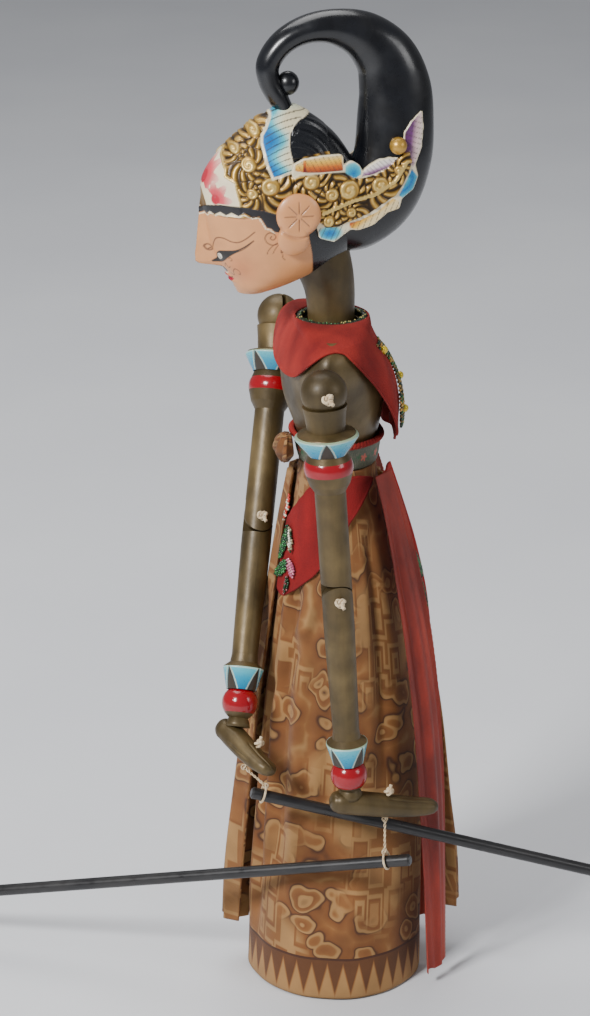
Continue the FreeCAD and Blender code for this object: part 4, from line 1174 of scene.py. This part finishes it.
def make_cup(name, body, turn, origin, rim, waist, facing, petals=5):
    """Turquoise cup of painted petals round the arm: rim and waist are (radius, height)."""
    cols = 200
    heights = np.linspace(0, 1, 26)
    around = round_angles(cols)
    profile = [(rim[0] - 7.0, rim[1] + 1.9), (rim[0] - 4, rim[1] + 1.8), (rim[0] - 1.2, rim[1] + 1.2),
               (rim[0], rim[1] + 0.2)]
    profile += [(rim[0] + (waist[0] - rim[0]) * t + 0.3, rim[1] + (waist[1] - rim[1]) * t) for t in heights]
    rows = len(profile)
    v = np.concatenate([np.full(4, -1.0), heights])
    a, t = np.meshgrid(around, v)
    off = np.abs(np.mod(a - facing + math.pi / petals, 2 * math.pi / petals) - math.pi / petals)
    half = math.pi / petals * (0.97 - 0.52 * np.clip(t, 0, 1))
    radius = np.array([p[0] for p in profile])[:, None] * np.ones(cols)
    edge = (half - off) * radius
    petal = np.clip(edge / 0.7 + 0.5, 0, 1) * (t >= 0)
    facet = np.cos(math.pi / petals * 0.9) / np.cos(np.minimum(off, math.pi / petals))
    radius = radius * np.where(t >= 0, 1 - 0.35 * (1 - np.clip(facet, 0.7, 1)) * petal, 1) + 1.0 * petal
    art = Painting(a.ravel(), t.ravel(), tint(48, 38, 24), 0.4)
    top = (t.ravel() < 0)
    art.fill(top, tint(150, 170, 136), rough=0.3)
    blue = gradient(np.clip(t.ravel(), 0, 1), tint(96, 190, 200), tint(20, 150, 184), tint(0, 116, 158))
    art.fill(petal.ravel(), blue, rough=0.18)
    line = petal.ravel() * (np.abs(edge.ravel() - 0.55) < 0.45)
    art.fill(line * 0.85, tint(196, 206, 180), rough=0.25)
    art.fill((np.abs(t.ravel() - 0.03) < 0.045) * petal.ravel() * 0.7, tint(186, 216, 206), rough=0.2)
    z = np.array([p[1] for p in profile])[:, None] * np.ones(cols)
    local = np.stack([radius * np.cos(a), radius * np.sin(a), z], -1).reshape(-1, 3)
    points = local @ turn.T + np.array(origin)
    piece(name, (points, quads(rows, cols, True)), body, PAINT, layers=art.layers())


def make_red_ball(name, body, turn, origin, radius, top, bottom):
    middle, half = (top + bottom) / 2, (top - bottom) / 2
    profile = []
    for a in np.linspace(0.12, math.pi - 0.12, 40):
        profile.append((radius * abs(math.sin(a)) ** 0.8, middle + half * math.cos(a)))
    rings = turned(profile, 72)
    shape = loft(rings)
    points = shape[0] @ turn.T + np.array(origin)
    piece(name, (points, shape[1]), body, PAINT,
          layers=flat_paint(len(points), tint(150, 14, 26), 0.0, 0.06))


def knot(centre, size, wire, lean=(0.3, 0.2)):
    """A small overhand lump of cord with two short ends."""
    t = np.linspace(0, 2 * math.pi, 90)
    path = np.stack([(2 + np.cos(3 * t)) * np.cos(2 * t), (2 + np.cos(3 * t)) * np.sin(2 * t),
                     1.3 * np.sin(3 * t)], 1)
    turn = rotation(*[math.degrees(v) for v in lean])
    parts = [tube(path / 3 * size @ turn.T + centre, wire, 9, False)]
    for end in ((1, 0.4, 0.9), (-0.5, 0.8, 1.0)):
        stub = np.array([np.zeros(3), np.array(end) * size * 0.8, np.array(end) * size * 1.25])
        parts.append(tube(smooth_path(stub, 8) @ turn.T + centre, np.linspace(wire, wire * 1.3, 8), 9))
    return merge(parts)


def make_hand(word, arm):
    fingers = np.array(arm["fingers"]) / np.linalg.norm(arm["fingers"])
    lift = np.array(arm["up"])
    up = lift - fingers * (lift @ fingers)
    up /= np.linalg.norm(up)
    across = np.cross(up, fingers)
    drop = 11.4 - 10 * (lift @ up)
    top = np.array(arm["wrist"]) - up * drop
    length = arm["length"]
    stations = np.array([(-0.20, 3.2, 2.6), (-0.185, 5.0, 4.2), (-0.13, 7.2, 6.2), (0.02, 8.2, 7.0),
                         (0.25, 8.6, 7.0),
                         (0.45, 8.6, 6.6), (0.62, 8.3, 6.0), (0.78, 7.8, 5.3), (0.90, 7.0, 4.6),
                         (0.965, 5.6, 3.6), (1.0, 3.4, 2.2)])
    around = round_angles(96)
    rings = []
    for share in np.concatenate([np.linspace(-0.20, -0.1, 10), np.linspace(-0.08, 0.88, 70),
                                 np.linspace(0.89, 1.0, 16)]):
        wide, high = spline(share, stations[:, 0], stations[:, 1:])
        c, s = np.cos(around), np.sin(around)
        shape_c, shape_s = np.sign(c) * np.abs(c) ** 0.82, np.sign(s) * np.abs(s) ** 0.82
        spread = ease(share, 0.40, 0.52)
        groove = np.zeros(96)
        for place in (-0.5, 0.0, 0.5):
            groove += bell(shape_c - place, 0.07)
        thumb = bell(shape_s + 0.28 - 0.5 * (share - 0.3), 0.10) * ease(share, 0.18, 0.28) * (
            1 - ease(share, 0.62, 0.72)) * (c * arm["side"] > 0.2)
        dent = 1 - 0.13 * groove * spread - 0.10 * thumb
        droop = -0.9 * ease(share, 0.0, 0.5) + 2.2 * ease(share, 0.6, 1.0) ** 1.5
        centre = top + fingers * share * length - up * (7.0 - droop * 0.6)
        rings.append(centre + np.outer(wide * shape_c * dent, across) + np.outer(high * shape_s * dent, up))
    neck = [np.array(arm["wrist"]) - lift * k for k in (-3.0, 0.0, 2.5, 5.0)]
    piece(f"hand_carving_{word}", merge([loft(rings), tube(neck, [5, 6.5, 7.5, 8], 40)]), f"hand_{word}",
          BRONZE, [f"hand_{word}"])
    hole = np.array(arm["wrist"]) + fingers * arm["hole"]
    back = hole - up * (drop - 1.9)
    pivot = hole - up * (drop + 14 + 2.6)
    parts = [knot(back, 2.6, 0.85), tube(np.array([back, (back + pivot) / 2, pivot + up * 2.2]), 0.8, 10),
             tube(ring_path(pivot + up * 1.2, np.cross([1, 0, 0], up), 1.5), 0.5, 10, False)]
    piece(f"hand_knot_{word}", merge(parts), f"hand_{word}", COTTON, [f"hand_cord_{word}"])


def make_string(word, arm):
    a, b = np.array(arm["top"]), np.array(arm["bottom"])
    ahead = (b - a) / np.linalg.norm(b - a)
    side = np.cross(ahead, [0.3, 0.9, 0.1])
    side /= np.linalg.norm(side)
    other = np.cross(ahead, side)
    t = np.linspace(0, 1, 60)
    parts = []
    for phase in (0, math.pi):
        spread = 0.42 + 0.9 * (np.exp(-t * 9) + np.exp(-(1 - t) * 9))
        twist = 2 * math.pi * 3.5 * t + phase
        path = a + np.outer(t, b - a) + np.outer(spread * np.cos(twist),
                                                 side) + np.outer(spread * np.sin(twist), other)
        parts.append(tube(path, 0.42, 8))
    for end in (a, b):
        parts.append(tube(ring_path(end, (1, 0, 0), 1.6), 0.48, 9, False))
    piece(f"hand_string_{word}", merge(parts), f"rod_string_{word}", COTTON,
          [f"rod_string_{word}"])


def make_arms():
    for word, arm in ARMS.items():
        turn, side = arm["turn"], arm["side"]
        facing = math.pi / 5 - 0.17 if side > 0 else math.pi / 5 + 0.3
        make_cup(f"armlet_cup_{word}", f"upper_arm_{word}", turn, arm["shoulder"], (18.7, -26.6),
                 (12.3, -37.6), facing)
        make_red_ball(f"armlet_ball_{word}", f"upper_arm_{word}", turn, arm["shoulder"], 15.0, -35.6, -58.0)
        make_cup(f"wristlet_cup_{word}", f"forearm_{word}", turn, arm["elbow"], (12.7, -96.6),
                 (8.9, -110.4), -0.17, 4)
        make_red_ball(f"wristlet_ball_{word}", f"forearm_{word}", turn, arm["elbow"], 11.4, -108.4, -128.6)
        outer = np.array(arm["shoulder"]) + turn @ np.array([side * 14.6, 0, 0])
        piece(f"shoulder_knot_cord_{word}", knot(outer, 3.0, 0.95, (0.4, 1.4)), f"upper_arm_{word}",
              COTTON, [f"shoulder_knot_{word}"])
        elbow = np.array(arm["elbow"])
        axis = turn @ np.array([1.0, 0, 0])
        parts = [tube(np.array([elbow - axis * 10, elbow, elbow + axis * 10]), 1.1, 10)]
        parts += [knot(elbow + axis * s * 10.6, 2.7, 0.9, (0.2, 1.5)) for s in (1, -1)]
        piece(f"elbow_knot_cord_{word}", merge(parts), f"upper_arm_{word}", COTTON,
              [f"elbow_cord_{word}"])
        make_hand(word, arm)
        make_string(word, arm)


# ---- carried-over CAD nodes ----
def refinish():
    looks = {"torso": BRONZE, "stand_base": WOOD, "central_rod": WOOD}
    for word in ("left", "right"):
        looks.update({f"upper_arm_{word}": BRONZE, f"forearm_{word}": BRONZE, f"arm_rod_{word}": ROD_BLACK,
                      f"rod_ring_{word}": COTTON, f"shoulder_cord_{word}": COTTON})
    for node, look in looks.items():
        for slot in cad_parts[node].material_slots:
            slot.material = look


def make_stage():
    """A flat floor, large enough to fill the picture from any side."""
    reach, steps = 9000, 9
    across, along = np.meshgrid(np.linspace(-reach, reach, steps), np.linspace(-reach, reach, steps))
    points = np.stack([across.ravel(), along.ravel(), np.zeros(steps * steps)], 1) * MM
    mesh = bpy.data.meshes.new("floor")
    mesh.from_pydata(points.tolist(), [], quads(steps, steps))
    mesh.materials.append(floor_look())
    floor = bpy.data.objects.new("floor", mesh)
    scene.collection.objects.link(floor)


make_stage()
refinish()
make_head()
make_ears()
make_neck()
make_crest()
make_wings()
make_belt()
make_sarong()
make_vest()
make_braid()
make_hip_cloth()
make_ribbons()
make_flap()
make_bead_work()
make_hanging("wrap_front_pleats", "wrap_front_end",
             [(-14, -21.6, 340, 14, 2.0, -16), (-14, -28.6, 300, 16, 2.4, -16),
              (-16, -37.0, 240, 18, 3.0, -16),
              (-17, -45.4, 180, 20, 4.2, -17), (-18, -51.6, 120, 20, 5.5, -18),
              (-17, -57.5, 70, 17, 6.0, -16), (-15, -61.5, 30, 11, 5.0, -12)], 2.2, body=1.8)
make_hanging("wrap_back_pleats", "wrap_back_end",
             [(-15, 30.5, 335, 12, 2.0, 14), (-15, 39.5, 300, 15, 2.6, 14), (-14, 53.5, 240, 19, 3.6, 12),
              (-13, 63.5, 180, 22, 4.6, 10), (-11, 69.5, 120, 24, 5.4, 8), (-9, 75.0, 70, 24, 5.6, 6),
              (-8, 79.0, 34, 16, 4.4, 4)], 2.2, shift=170, body=1.8)
make_hanging("waist_bunch_folds", "waist_bunch",
             [(-14, -27.0, 343, 3, 2.6, 0), (-10, -28.4, 349, 14, 4.6, 0), (0, -30.2, 356, 19, 6.0, 0),
              (6, -30.4, 363, 14, 5.2, 0), (9, -29.2, 369, 5, 2.6, 0)], 3.2,
             rows=60, shift=40)
make_arms()
